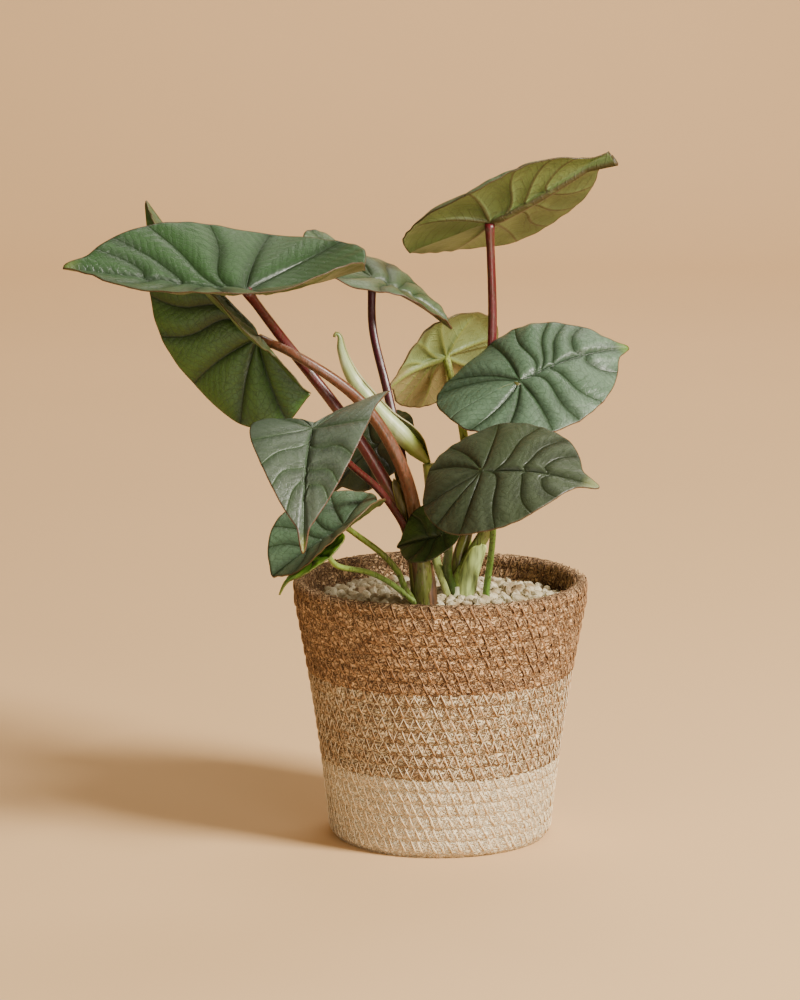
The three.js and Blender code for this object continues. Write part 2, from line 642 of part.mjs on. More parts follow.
for (const crownName of Object.keys(CROWNS)) {
  const solid = crownSolid(crownName, stalksOf[crownName]);
  add(`crown_${crownName}`, toGeometry(solid), material(0x5d6636, 0.5));
}

// The soil and the pumice, with the holes that the crowns and the lone stalk stand in.
const loneLeaf = LEAVES.find((leaf) => !leaf.crown);
const holes = [crownHole('left'), crownHole('right'), stalkHole(loneLeaf)];
const bored = (geometry) => holes.reduce((solid, hole) => solid.subtract(hole), toSolid(geometry));
add('soil', toGeometry(bored(soil())), material(0x3b2a1f, 0.95));
add('pumice', toGeometry(bored(pumiceGravel())), material(0xcdc6b8, 0.9));

export default alocasia;
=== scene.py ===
import math
import bpy
import numpy as np
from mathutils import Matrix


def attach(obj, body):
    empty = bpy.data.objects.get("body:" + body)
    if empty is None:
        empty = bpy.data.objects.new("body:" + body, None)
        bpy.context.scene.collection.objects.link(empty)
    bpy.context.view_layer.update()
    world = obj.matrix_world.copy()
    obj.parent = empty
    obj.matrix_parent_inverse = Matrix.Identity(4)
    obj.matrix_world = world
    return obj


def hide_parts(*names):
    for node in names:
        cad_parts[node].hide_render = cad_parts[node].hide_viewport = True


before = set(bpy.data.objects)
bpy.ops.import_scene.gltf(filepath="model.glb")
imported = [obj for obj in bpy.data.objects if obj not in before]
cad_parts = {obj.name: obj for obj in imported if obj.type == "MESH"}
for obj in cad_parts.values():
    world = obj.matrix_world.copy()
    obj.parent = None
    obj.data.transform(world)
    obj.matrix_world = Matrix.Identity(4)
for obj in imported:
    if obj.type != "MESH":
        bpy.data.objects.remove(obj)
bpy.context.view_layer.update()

# All sizes below are millimetres until a piece is laid out, where they become metres.
perMetre = 1000


def tone(colour):
    # a colour as a picture shows it, made linear for the shaders
    linear = [(part / 255) ** 2.2 for part in colour]
    return (*linear, 1)


def deselect():
    bpy.ops.object.select_all(action="DESELECT")


# Camera

camera = {"place": (-22.1, -2000, 539.3), "downward": 0.17505, "lens": 134.1, "sensor": 36}


def setCamera():
    deselect()
    place = [value / perMetre for value in camera["place"]]
    turn = (math.pi / 2 - camera["downward"], 0, 0)
    bpy.ops.object.camera_add(location=place, rotation=turn)
    eye = bpy.context.active_object
    eye.data.sensor_fit = "VERTICAL"
    eye.data.sensor_height = camera["sensor"]
    eye.data.lens = camera["lens"]
    bpy.context.scene.camera = eye


setCamera()
print("camera set")


# Shapes


def layOut(name, rows, columns, place):
    # a grid primitive whose vertices place(u, v) puts where they belong
    deselect()
    bpy.ops.mesh.primitive_grid_add(x_subdivisions=rows, y_subdivisions=columns, size=1)
    piece = bpy.context.active_object
    piece.name = name
    piece.data.name = name
    flat = np.empty(len(piece.data.vertices) * 3)
    piece.data.vertices.foreach_get("co", flat)
    row = np.rint((flat[0::3] + 0.5) * rows) / rows
    column = np.rint((flat[1::3] + 0.5) * columns) / columns
    piece.data.vertices.foreach_set("co", (place(row, column) / perMetre).ravel())
    return piece, row, column


def note(piece, label, values):
    layer = piece.data.attributes.new(label, "FLOAT", "POINT")
    layer.data.foreach_set("value", np.ascontiguousarray(values, dtype=float))


def wear(piece, *materials):
    for material in materials:
        piece.data.materials.append(material)


def closeSeams(piece, within=0.02):
    deselect()
    bpy.context.view_layer.objects.active = piece
    piece.select_set(True)
    bpy.ops.object.mode_set(mode="EDIT")
    bpy.ops.mesh.select_all(action="SELECT")
    bpy.ops.mesh.remove_doubles(threshold=within / perMetre)
    bpy.ops.object.mode_set(mode="OBJECT")


def thicken(piece, thickness, group="", lower=0):
    modifier = piece.modifiers.new("thickness", "SOLIDIFY")
    modifier.thickness = thickness / perMetre
    modifier.offset = -1
    modifier.use_rim = True
    modifier.material_offset = lower
    modifier.material_offset_rim = lower
    modifier.vertex_group = group
    bpy.context.view_layer.objects.active = piece
    bpy.ops.object.modifier_apply(modifier=modifier.name)


def gather(name, pieces):
    deselect()
    for piece in pieces:
        piece.select_set(True)
    bpy.context.view_layer.objects.active = pieces[0]
    if len(pieces) > 1:
        bpy.ops.object.join()
    whole = bpy.context.view_layer.objects.active
    whole.name = name
    whole.data.name = name
    return whole


def settle(piece, node, smooth=True):
    piece.data.polygons.foreach_set("use_smooth", [smooth] * len(piece.data.polygons))
    piece.data.update()
    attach(piece, "root")
    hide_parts(node)
    return piece


def copiesOf(name, template, places):
    # one mesh of many copies of template, each put in its place by an array of points
    corners = len(template.data.vertices)
    faces = [tuple(face.vertices) for face in template.data.polygons]
    points = np.concatenate(places) / perMetre
    allFaces = []
    for number in range(len(places)):
        start = number * corners
        allFaces.extend(tuple(corner + start for corner in face) for face in faces)
    mesh = bpy.data.meshes.new(name)
    mesh.from_pydata(points.tolist(), [], allFaces)
    piece = bpy.data.objects.new(name, mesh)
    bpy.context.scene.collection.objects.link(piece)
    return piece


def cornersOf(piece):
    flat = np.empty(len(piece.data.vertices) * 3)
    piece.data.vertices.foreach_get("co", flat)
    return flat.reshape(-1, 3) * perMetre


def circling(radius, turn, height):
    # points about the upright axis
    return np.stack([radius * np.cos(turn), radius * np.sin(turn), height], axis=-1)


def curveThrough(stops, count):
    # the centripetal curve that the stalks follow
    stops = np.array(stops, float)
    ends = np.vstack([2 * stops[0] - stops[1], stops, 2 * stops[-1] - stops[-2]])
    line = []
    for where in np.linspace(0, len(stops) - 1, count):
        first = min(int(where), len(stops) - 2)
        share = where - first
        p0, p1, p2, p3 = ends[first:first + 4]
        d0, d1, d2 = [max(np.linalg.norm(b - a), 0.0001) ** 0.5 for a, b in ((p0, p1), (p1, p2), (p2, p3))]
        t1 = ((p1 - p0) / d0 - (p2 - p0) / (d0 + d1) + (p2 - p1) / d1) * d1
        t2 = ((p2 - p1) / d1 - (p3 - p1) / (d1 + d2) + (p3 - p2) / d2) * d1
        c2 = -3 * p1 + 3 * p2 - 2 * t1 - t2
        c3 = 2 * p1 - 2 * p2 + t1 + t2
        line.append(p1 + t1 * share + c2 * share ** 2 + c3 * share ** 3)
    return np.array(line)


def framesAlong(line):
    # two sideways directions that turn as little as they can
    tangents = np.gradient(line, axis=0)
    tangents /= np.linalg.norm(tangents, axis=1)[:, None]
    sideways = [np.cross(tangents[0], (0.3, 1, 0.1))]
    for tangent in tangents[1:]:
        last = sideways[-1]
        sideways.append(last - tangent * np.dot(last, tangent))
    sideways = np.array(sideways)
    sideways /= np.linalg.norm(sideways, axis=1)[:, None]
    return sideways, np.cross(tangents, sideways)


def pick(table, share):
    # the row of a table of points at each share of its length
    spot = np.clip(share, 0, 1) * (len(table) - 1)
    low = np.minimum(spot.astype(int), len(table) - 2)
    part = (spot - low)[:, None]
    return table[low] * (1 - part) + table[low + 1] * part


def evenly(line, count=160):
    steps = np.concatenate([[0], np.cumsum(np.linalg.norm(np.diff(line, axis=0), axis=1))])
    wanted = np.linspace(0, steps[-1], count)
    return np.stack([np.interp(wanted, steps, line[:, axis]) for axis in range(3)], axis=1)


def aboutLine(line):
    # gives the point that lies a reach away from the line, at a share of its length and an angle about it
    sideways, across = framesAlong(line)

    def pointAt(share, angle, reach):
        out = pick(sideways, share) * np.cos(angle)[:, None] + pick(across, share) * np.sin(angle)[:, None]
        return pick(line, share) + out * reach[:, None]

    return pointAt


def bell(distance, width):
    # 1 in the middle, falling to nothing over about twice the width
    return np.exp(-(distance / width) ** 2)


def tube(name, line, rows, columns, radiusAt):
    # a closed tube along line; radiusAt(share, angle) gives its radius
    pointAt = aboutLine(evenly(line))

    def place(row, column):
        share = np.clip((row * rows - 1) / (rows - 2), 0, 1)
        closed = (row > 0.2 / rows) & (row < 1 - 0.2 / rows)
        angle = -2 * math.pi * column
        return pointAt(share, angle, radiusAt(share, angle) * closed)

    piece, row, column = layOut(name, rows, columns, place)
    note(piece, "along", row)
    closeSeams(piece)
    return piece


# Shader effects shared by several materials

# the node tree that the helpers below add to
building = {"tree": None}


def join(source, target):
    # source is a socket or a plain number or colour
    if isinstance(source, bpy.types.NodeSocket):
        building["tree"].links.new(source, target)
    else:
        target.default_value = source


def feed(node, sources):
    for label, source in sources.items():
        join(source, node.inputs[label])
    return node


def newNode(kind, sources=None):
    return feed(building["tree"].nodes.new("ShaderNode" + kind), sources or {})


def calculate(operation, first, second=0.0):
    node = newNode("Math", {0: first, 1: second})
    node.operation = operation
    return node.outputs[0]


def times(first, second):
    return calculate("MULTIPLY", first, second)


def plus(first, second):
    return calculate("ADD", first, second)


def minus(first, second):
    return calculate("SUBTRACT", first, second)


def fade(value, start, end, low=0.0, high=1.0):
    # low until value reaches start, high after end
    limits = {"From Min": start, "From Max": end, "To Min": low, "To Max": high}
    node = newNode("MapRange", {"Value": value, **limits})
    node.interpolation_type = "SMOOTHSTEP"
    return node.outputs["Result"]


def shaded(colour, share):
    return [min(part * share, 255) for part in colour]


def layered(colour, *layers):
    # each layer is a mask and the colour that it lays over the ones before
    skin = tone(colour)
    for mask, over in layers:
        node = newNode("Mix")
        node.data_type = "RGBA"
        # a mix has its factor and its colours at 0, 6 and 7, and gives a colour at 2
        feed(node, {0: mask, 6: skin, 7: tone(over)})
        skin = node.outputs[2]
    return skin


def grain(vector, scale, detail=2.0, roughness=0.5, distortion=0.0):
    kind = {"Scale": scale, "Detail": detail, "Roughness": roughness, "Distortion": distortion}
    return newNode("TexNoise", {"Vector": vector, **kind}).outputs["Fac"]


def cellular(vector, scale, feature="DISTANCE_TO_EDGE", dimensions="2D"):
    node = newNode("TexVoronoi")
    node.feature = feature
    node.voronoi_dimensions = dimensions
    return feed(node, {"Scale": scale, "Vector": vector}).outputs


def attribute(label):
    node = newNode("Attribute")
    node.attribute_name = label
    return node.outputs["Fac"]


def objectPoint():
    return newNode("TexCoord").outputs["Object"]


def stretched(vector, scale):
    return newNode("Mapping", {"Vector": vector, "Scale": scale}).outputs["Vector"]


def newMaterial(name, roughness, specular=0.5):
    material = bpy.data.materials.new(name)
    material.use_nodes = True
    building["tree"] = material.node_tree
    shader = material.node_tree.nodes["Principled BSDF"]
    shader.inputs["Roughness"].default_value = roughness
    shader.inputs["Specular IOR Level"].default_value = specular
    return material, shader


def paint(shader, colour, roughness=None):
    join(colour, shader.inputs["Base Color"])
    if roughness:
        join(roughness, shader.inputs["Roughness"])


def raiseBy(shader, height, strength, distance):
    bump = newNode("Bump", {"Strength": strength, "Distance": distance / perMetre, "Height": height})
    join(bump.outputs["Normal"], shader.inputs["Normal"])


def startGroup(name, inputs, outputs):
    group = bpy.data.node_groups.new(name, "ShaderNodeTree")
    building["tree"] = group
    for label in inputs:
        kind = "NodeSocketVector" if label == "point" else "NodeSocketFloat"
        group.interface.new_socket(name=label, in_out="INPUT", socket_type=kind)
    for label in outputs:
        group.interface.new_socket(name=label, in_out="OUTPUT", socket_type="NodeSocketFloat")
    return group, group.nodes.new("NodeGroupInput").outputs


def endGroup(group, **results):
    feed(group.nodes.new("NodeGroupOutput"), results)
    return group


def useGroup(group, **values):
    node = newNode("Group")
    node.node_tree = group
    return feed(node, values).outputs


def buildVeinLine():
    # a line at each whole number of phase, its width in mm worked out from the gap between veins
    group, given = startGroup("veinLine", ("phase", "gap", "inner", "outer"), ("line", "distance"))
    fromMiddle = calculate("ABSOLUTE", minus(calculate("FRACT", given["phase"]), 0.5))
    distance = times(minus(0.5, fromMiddle), given["gap"])
    line = fade(distance, given["inner"], given["outer"], 1, 0)
    return endGroup(group, line=line, distance=distance)


sideRib = {"every": 5.0, "slant": -0.9, "wobble": 3.5, "wobbleScale": 90, "cellScale": 330}


def buildSideRibs():
    # fine ribs that leave each vein on a slant, broken into cells by a net
    group, given = startGroup("sideRibs", ("distance", "run", "point"), ("ribs", "net", "swell"))
    wobble = times(grain(given["point"], sideRib["wobbleScale"]), sideRib["wobble"])
    along = plus(plus(given["run"], times(given["distance"], sideRib["slant"])), wobble)
    turns = calculate("FRACT", calculate("DIVIDE", along, sideRib["every"]))
    fromMiddle = calculate("ABSOLUTE", minus(turns, 0.5))
    border = cellular(given["point"], sideRib["cellScale"], dimensions="3D")["Distance"]
    swell = minus(1.0, times(fromMiddle, 2.0))
    return endGroup(group, ribs=fade(fromMiddle, 0.4, 0.5), net=fade(border, 0.0, 0.09, 1, 0), swell=swell)


# how far each effect is stretched, in turns for each mm
fibre = {"bendScale": 0.5, "bend": (3.4, 3.4, 0), "stroke": (0.27, 0.9, 1), "strand": (0.5, 3.4, 1),
         "patch": (0.05, 0.22, 1)}


def buildFibres():
    # short crinkled grass fibres that run along the first axis of the point, in mm
    group, given = startGroup("fibres", ("point",), ("strands", "slits", "patches", "tones"))
    wander = newNode("TexNoise", {"Scale": fibre["bendScale"], "Vector": given["point"]})
    bend = newNode("VectorMath")
    bend.operation = "MULTIPLY_ADD"
    feed(bend, {0: wander.outputs["Color"], 1: fibre["bend"], 2: given["point"]})
    stroke = stretched(bend.outputs[0], fibre["stroke"])
    border = cellular(stroke, 1)["Distance"]
    apart = newNode("SeparateColor", {0: cellular(stroke, 1, "F1")["Color"]})
    fine = grain(stretched(bend.outputs[0], fibre["strand"]), 1.0, 3.0, 0.65, 1.2)
    strands = plus(times(fade(border, 0.0, 0.36), 0.7), times(fine, 0.5))
    tones = plus(times(apart.outputs[0], 0.45), times(fine, 0.6))
    # the dark lines between the fibre strokes: painted shade in the crevices of the rope
    slits = fade(border, 0.03, 0.2, 1, 0)
    patches = grain(stretched(given["point"], fibre["patch"]), 1.0)
    return endGroup(group, strands=strands, slits=slits, patches=patches, tones=tones)


veinLine = buildVeinLine()
sideRibs = buildSideRibs()
fibres = buildFibres()


# Leaves

leafShape = {"tipSpread": 0.15, "notchSpread": 0.34, "shoulderSpread": 0.8, "earAngle": 2.45,
             "earSpread": 0.3, "curlStart": 0.78, "hookStart": 0.9, "waves": 6, "waveLag": 1.3}
# how many rings and spokes a blade gets, below and above the size that counts as small
leafDetail = {"small": 50, "coarse": (30, 168), "fine": (44, 264)}
leafFinish = {"above": 0.4, "ribDepth": 1.9, "quilt": 2.4, "fullGap": 16, "veinGroove": 0.7, "veinWidth": 1.1,
              "midribGroove": 1.0, "midribWidth": 1.7, "frill": 0.35, "frills": 23, "calm": 6,
              "web": 0.36, "veinKeel": 0.4, "midribKeel": 0.7}
# facing is heading, rise and roll in degrees; size is the reach of the tip, the reach of the lobes and the
# half width; edge is taper, slimness, drip tip and notch. The two veins tables hold where each side vein ends
# at the margin, in degrees from the tip, and where it leaves the midrib, as a share of the leaf.
smallVeins = [(140, 0), (96, 0.06), (58, 0.3)]
leaves = [
    dict(name="upper_left", at=(-102.6, -64, 308.3), facing=(185, 5, -15), size=(85, 75, 51),
         edge=(0.06, 0.04, 11, 11), fold=(22, 19), cup=(-7, -3), droop=(-6, -38), twist=-13, curl=(-21, -5),
         wave=(0.9, -8), girth=(4.2, 2.3), relief=0.75,
         route=[(-10, -25, 128), (-17, -26, 172), (-35, -28, 209), (-55, -31, 240), (-84, -34.5, 278)],
         veins=([(136, 0), (104, 0), (82, 0.08), (62, 0.2), (44, 0.36), (28, 0.54)],
                [(138, 0), (104, 0), (79, 0.02), (52, 0.1), (33, 0.34), (19, 0.55)]),
         tissue=(45, 71, 39), groove=(26, 45, 20), under=(93, 104, 60), rib=(63, 75, 37),
         margin=(67, 38, 24), tipTone=(96, 111, 59)),
    dict(name="back_left", at=(-98.2, -33, 279), facing=(150, 38, -118), size=(94, 53, 45),
         edge=(0.2, 0.2, 10, 9), ear=(0, -0.45), fold=(41, 41), cup=(-11, -7), droop=(12, -7), twist=-4,
         wave=(1.2, 15), girth=(4.8, 2.1), relief=0.8,
         route=[(-9, -26, 130), (-12, -29, 170), (-21, -33, 209), (-43, -38, 245.5), (-79, -43, 272)],
         veins=([(158, 0), (128, 0), (96, 0), (72, 0.1), (54, 0.24), (36, 0.42), (22, 0.6)],
                [(153, 0), (133, 0), (94, 0), (74, 0.1), (56, 0.24), (38, 0.42), (22, 0.6)]),
         tissue=(58, 89, 33), groove=(24, 40, 10), under=(77, 89, 52), rib=(60, 70, 35), margin=(67, 55, 28),
         tipTone=(72, 87, 35)),
    dict(name="front_hanging", at=(-67.7, -80, 237.7), facing=(264, -15, 3), size=(70, 35, 30),
         edge=(0.52, 0.1, 12, 26), ear=(0.42, -0.2), fold=(19, 9), cup=(-5, -9), droop=(54, 35), twist=-12,
         curl=(8, 4), wave=(0.8, -30), girth=(2.4, 1.6), relief=0.45,
         route=[(-11, -27, 132), (-16, -32, 168), (-31, -43, 196), (-48, -60, 215), (-58, -71, 227)],
         veins=([(147, 0), (102, 0), (75, 0.2), (57, 0.48), (45, 0.62)],
                [(140, 0), (92, 0), (70, 0.14), (55, 0.45), (34, 0.56)]),
         tissue=(75, 86, 73), groove=(58, 76, 50), under=(96, 108, 66), rib=(69, 81, 43),
         margin=(83, 41, 29), tipTone=(120, 126, 59)),
    dict(name="lower_left", at=(-51.9, -55, 181.7), facing=(195, -28, -6), size=(45, 29, 34),
         edge=(0.03, 0.16, 2, 7), fold=(16, 12), cup=(10, 11), droop=(10, 2), twist=-19, curl=(-9, -9),
         wave=(0.5, 34), girth=(1.8, 1.5), relief=0.6,
         route=[(-11, -27, 130), (-19, -31, 142), (-23, -34, 152), (-31, -39, 162.5), (-46, -49, 176)],
         veins=([(150, 0), (112, 0), (80, 0.08), (54, 0.28), (34, 0.5)],) * 2,
         tissue=(74, 96, 72), groove=(31, 48, 19), under=(83, 97, 53), rib=(60, 73, 35), margin=(81, 53, 29),
         tipTone=(90, 81, 42)),
    dict(name="small_left", at=(-61.4, -72, 170.9), facing=(204, -33, -1), size=(26, 14, 14),
         edge=(0.08, 0.14, 8, 0.5), hook=4, fold=(9, -6), cup=(0, -30), droop=(-2, -19), twist=-3,
         wave=(0.2, 46), girth=(1.6, 1.4), relief=0.35,
         route=[(-9, -27, 130), (-22, -33, 142), (-30, -39, 149), (-39, -46, 154.5), (-56, -64, 162)],
         tissue=(96, 134, 42), groove=(34, 58, 13), under=(100, 136, 50), rib=(120, 150, 64),
         margin=(77, 81, 31), tipTone=(120, 144, 58)),
    dict(name="upper_middle", at=(-37.4, 25, 304.7), facing=(-2, -18, 15), size=(47, 50, 27.5),
         edge=(0.1, 0.15, 6, 9), fold=(15, 15), cup=(-32, -14), droop=(28, -17), twist=-9, curl=(-12, -13),
         wave=(1.4, -11), girth=(3.2, 2.1), relief=0.8,
         route=[(-9, -22, 130), (-16, -18, 172), (-21, -8, 209), (-29, 4, 245), (-37, 18, 278)],
         veins=([(146, 0), (112, 0), (80, 0.1), (56, 0.28), (36, 0.48)],) * 2,
         tissue=(72, 88, 62), groove=(36, 53, 25), under=(84, 78, 44), rib=(68, 56, 29), margin=(77, 46, 30),
         tipTone=(101, 114, 64)),
    dict(name="behind_stalks", at=(-31.4, 30, 214.2), facing=(178, -37, -23), size=(35, 20.5, 29),
         edge=(0.02, 0.2, 10, 0.5), fold=(2, 5), cup=(-16, 10), droop=(15, 2), twist=-16, curl=(-5, -1),
         wave=(1, 13), girth=(2.6, 1.7), relief=0.7,
         route=[(-9, -22, 130), (-16, -12, 164), (-21, 8, 184), (-24, 25, 198)],
         tissue=(46, 59, 33), groove=(24, 37, 14), under=(74, 81, 45), rib=(55, 62, 31), margin=(57, 41, 23),
         tipTone=(72, 84, 42)),
    dict(name="small_base", at=(1.3, -54.2, 176.4), facing=(153, -13, -41), size=(28, 11, 19),
         edge=(0.05, 0.33, 3, 0.5), fold=(8, 25), cup=(-1, 7), droop=(11, -1), twist=-4, wave=(0.3, 16),
         girth=(2.6, 2), relief=0.3,
         route=[(8, -3, 132), (4.6, -6, 143), (3.4, -11, 151), (4, -24, 160), (4, -40, 168.5)],
         tissue=(50, 72, 28), groove=(26, 40, 12), under=(69, 82, 40), rib=(58, 72, 31), margin=(45, 45, 22),
         tipTone=(61, 77, 31)),
    dict(name="round_middle", at=(3.3, 54, 257.4), facing=(-149, -8, 61), size=(41, 35, 33.5),
         edge=(-0.02, 0.13, 7, 2), fold=(5, 3), cup=(-17, -4), droop=(29, 3), twist=-2, curl=(35, -3),
         wave=(0.6, 81), girth=(3.4, 1.9), relief=0.7,
         route=[(11, 4, 130), (14, 9, 158), (15, 20, 197), (13, 29, 217), (8, 41, 240)],
         veins=([(172, 0), (120, 0), (78, 0), (45, 0.06), (17, 0.35)],
                [(150, 0), (110, 0), (78, 0.04), (49, 0.12), (28, 0.4)]),
         tissue=(71, 85, 53), groove=(36, 53, 22), under=(114, 131, 82), rib=(112, 124, 62),
         margin=(77, 52, 24), tipTone=(120, 104, 53), lowTone=(116, 107, 68)),
    dict(name="right_silver", at=(42.1, -15, 253.8), facing=(18, 26, 33), size=(61, 47, 42.5),
         edge=(0.1, 0.2, 10, 3), ear=(0.05, -0.07), fold=(-2, 5), cup=(-23, -13), droop=(31, -3), twist=18,
         curl=(1, -5), wave=(0.9, 20), girth=(4, 2.2), relief=1.0,
         route=[(12, -1, 130), (17, -2, 154), (25, -4, 170), (31, -6, 193), (37, -10, 223)],
         veins=([(142, 0), (130, 0), (93, 0), (76, 0.13), (56, 0.19), (46, 0.31), (35, 0.56)],
                [(156, 0), (132, 0), (102, 0), (83, 0.08), (62, 0.27), (29, 0.6)]),
         tissue=(78, 99, 79), groove=(31, 49, 22), under=(96, 108, 66), rib=(69, 81, 43),
         margin=(78, 38, 24), tipTone=(90, 118, 43)),
    dict(name="right_lower", at=(20.3, -86, 216.2), facing=(-29, 11, 26), size=(55, 38, 42.5),
         edge=(-0.03, 0.28, 11, 0.5), fold=(13, -9), cup=(-23, -22), droop=(28, 18), twist=-10,
         curl=(-7, -8), wave=(0.8, 210), girth=(1.9, 1.6), relief=0.65,
         route=[(24.5, -6, 112), (25, -6, 136), (27, -14, 155), (28, -33, 178), (25.5, -60, 200)],
         veins=([(166, 0), (142, 0), (106, 0), (77, 0.1), (51, 0.38), (31, 0.57)],
                [(160, 0), (133, 0), (106, 0), (75, 0.06), (49, 0.4), (30, 0.6)]),
         tissue=(60, 70, 52), groove=(35, 45, 21), under=(88, 97, 58), rib=(66, 76, 38), margin=(67, 43, 26),
         tipTone=(126, 133, 88)),
    dict(name="top_right", at=(26.8, 27, 335.1), facing=(-18, 25, -38), size=(67, 51, 39),
         edge=(0.1, 0.09, 13, 0.5), hook=42, fold=(25, 15), cup=(-18, -42), droop=(-11, -9), twist=-9,
         curl=(-8, 45), wave=(0.9, 31), girth=(3.4, 2.2), relief=0.7,
         route=[(10, 2, 130), (10, 3, 152), (15, 5, 169), (24.5, 20, 222), (28.5, 26, 275)],
         veins=([(140, 0), (99, 0), (79, 0.2), (58, 0.33), (34, 0.52)],
                [(141, 0), (95, 0), (62, 0.12), (40, 0.28), (24, 0.46)]),
         tissue=(81, 97, 69), groove=(36, 53, 25), under=(100, 118, 68), rib=(64, 54, 28),
         margin=(59, 37, 21), tipTone=(96, 94, 42)),
]


def fullLeaf(given):
    leaf = {"hook": 0, "ear": (0, 0), "curl": (0, 0), "veins": (smallVeins, smallVeins), **given}
    leaf["heading"], leaf["rise"], leaf["roll"] = given["facing"]
    leaf["tip"], leaf["lobes"], leaf["half"] = given["size"]
    leaf["taper"], leaf["slim"], leaf["drip"], leaf["notch"] = given["edge"]
    return leaf


leaves = [fullLeaf(given) for given in leaves]


def outline(leaf, angle):
    middle = (leaf["tip"] - leaf["lobes"]) / 2
    reach = (leaf["tip"] + leaf["lobes"]) / 2
    drip = leaf["drip"] * bell(angle, leafShape["tipSpread"])
    notch = leaf["notch"] * bell(math.pi - angle, leafShape["notchSpread"])
    shoulder = leaf["slim"] * bell(angle, leafShape["shoulderSpread"])
    across = leaf["half"] * np.sin(angle) * (1 - leaf["taper"] * np.cos(angle)) * (1 - shoulder)
    return middle + reach * np.cos(angle) + drip + notch, across


def flatPoint(leaf, share, angle, left):
    ear = np.where(left, leaf["ear"][0], leaf["ear"][1])
    swell = 1 + ear * bell(angle - leafShape["earAngle"], leafShape["earSpread"])
    along, across = outline(leaf, angle)
    return along * share * swell, across * share * swell


def halfAngle(leaf, key, left):
    # what the left or the right half of a leaf has, in radians and never quite nought
    first, second = [math.radians(value or 0.01) for value in leaf[key]]
    return np.where(left, first, second)


def foldedPoint(leaf, share, angle, left):
    along, across = flatPoint(leaf, share, angle, left)
    sign = np.where(left, 1, -1)
    fold = halfAngle(leaf, "fold", left)
    cup = halfAngle(leaf, "cup", left) / leaf["half"]
    spread = (np.sin(fold + cup * across) - np.sin(fold)) / cup
    height, start = leaf["wave"]
    wave = np.sin(leafShape["waves"] * angle + math.radians(start) + np.where(left, 0, leafShape["waveLag"]))
    ripple = height * share ** 3 * wave * np.sqrt(np.abs(np.sin(angle)))
    lift = (np.cos(fold) - np.cos(fold + cup * across)) / cup + ripple
    twist = math.radians(leaf["twist"]) * along / leaf["tip"]
    sideways = sign * spread * np.cos(twist) - lift * np.sin(twist)
    up = sign * spread * np.sin(twist) + lift * np.cos(twist)
    bend = halfAngle(leaf, "droop", along > 0) / np.where(along > 0, leaf["tip"], leaf["lobes"])
    turn = bend * along
    hookLength = (1 - leafShape["hookStart"]) * leaf["tip"] + leaf["drip"]
    hookRun = np.maximum(along - leafShape["hookStart"] * leaf["tip"], 0) / hookLength
    down = (1 - np.cos(turn)) / bend + leaf["hook"] * hookRun ** 2
    return np.stack([np.sin(turn) / bend + np.sin(turn) * up, sideways, np.cos(turn) * up - down], axis=-1)


def unit(vectors):
    return vectors / np.maximum(np.linalg.norm(vectors, axis=-1, keepdims=True), 1e-9)


def bladePoint(leaf, share, angle, left):
    if not any(leaf["curl"]):
        return foldedPoint(leaf, share, angle, left)
    start = leafShape["curlStart"]

    def folded(share, angle):
        return foldedPoint(leaf, np.minimum(share, start), angle, left)

    base = folded(share, angle)
    curl = halfAngle(leaf, "curl", left) * np.abs(np.sin(angle)) ** 0.7 + 1e-6
    step = 0.001
    rim = folded(1, angle)
    outward = rim - folded(start - step, angle)
    speed = np.linalg.norm(outward, axis=-1) / step
    onward = folded(1, angle + step) - rim
    normal = unit(np.cross(outward, onward)) * np.where(left, 1, -1)[..., None]
    bend = curl / ((1 - start) * speed)
    turn = bend * np.maximum(share - start, 0) * speed
    outwards = unit(outward) * (np.sin(turn) / bend)[..., None]
    moved = base + outwards - normal * ((1 - np.cos(turn)) / bend)[..., None]
    return np.where((share > start)[..., None], moved, base)


def inPlace(leaf, points):
    heading, rise, roll = [math.radians(leaf[name]) for name in ("heading", "rise", "roll")]
    ahead = math.cos(rise) * math.cos(heading), math.cos(rise) * math.sin(heading), math.sin(rise)
    level = np.array([-math.sin(heading), math.cos(heading), 0])
    over = np.cross(ahead, level)
    left = level * math.cos(roll) + over * math.sin(roll)
    top = over * math.cos(roll) - level * math.sin(roll)
    return points @ np.stack([ahead, left, top]) + np.array(leaf["at"])


def veinPhase(veins, share, angle):
    # counts the veins from the notch to the tip; a whole number lies on a vein
    degrees = np.degrees(angle)
    lines = [np.full_like(share, 180.0)]
    for end, start in veins:
        if start == 0:
            lines.append(end * (0.93 + 0.07 * share))
        else:
            run = np.clip((share - start) / (1 - start), 0, 1)
            lines.append(end * (1 - (1 - run) ** 3.6))
    lines.append(np.zeros_like(share))
    phase = np.zeros_like(share)
    for number in range(len(lines) - 1):
        above, below = lines[number], lines[number + 1]
        inside = (degrees <= above) & (degrees >= below)
        part = (above - degrees) / np.maximum(above - below, 1e-6)
        value = 0.5 + 0.5 * part if number == 0 else number + part
        phase = np.where(inside, value, phase)
    return phase


def slopes(values, alongRows, alongColumns):
    # how fast values change on the flat leaf, for each mm
    byRow, byColumn = np.gradient(values)
    xRow, xColumn = np.gradient(alongRows)
    yRow, yColumn = np.gradient(alongColumns)
    area = xRow * yColumn - xColumn * yRow
    area = np.where(np.abs(area) < 1e-4, 1e-4, area)
    byX = (byRow * yColumn - byColumn * yRow) / area
    byY = (byColumn * xRow - byRow * xColumn) / area
    return np.hypot(byX, byY)


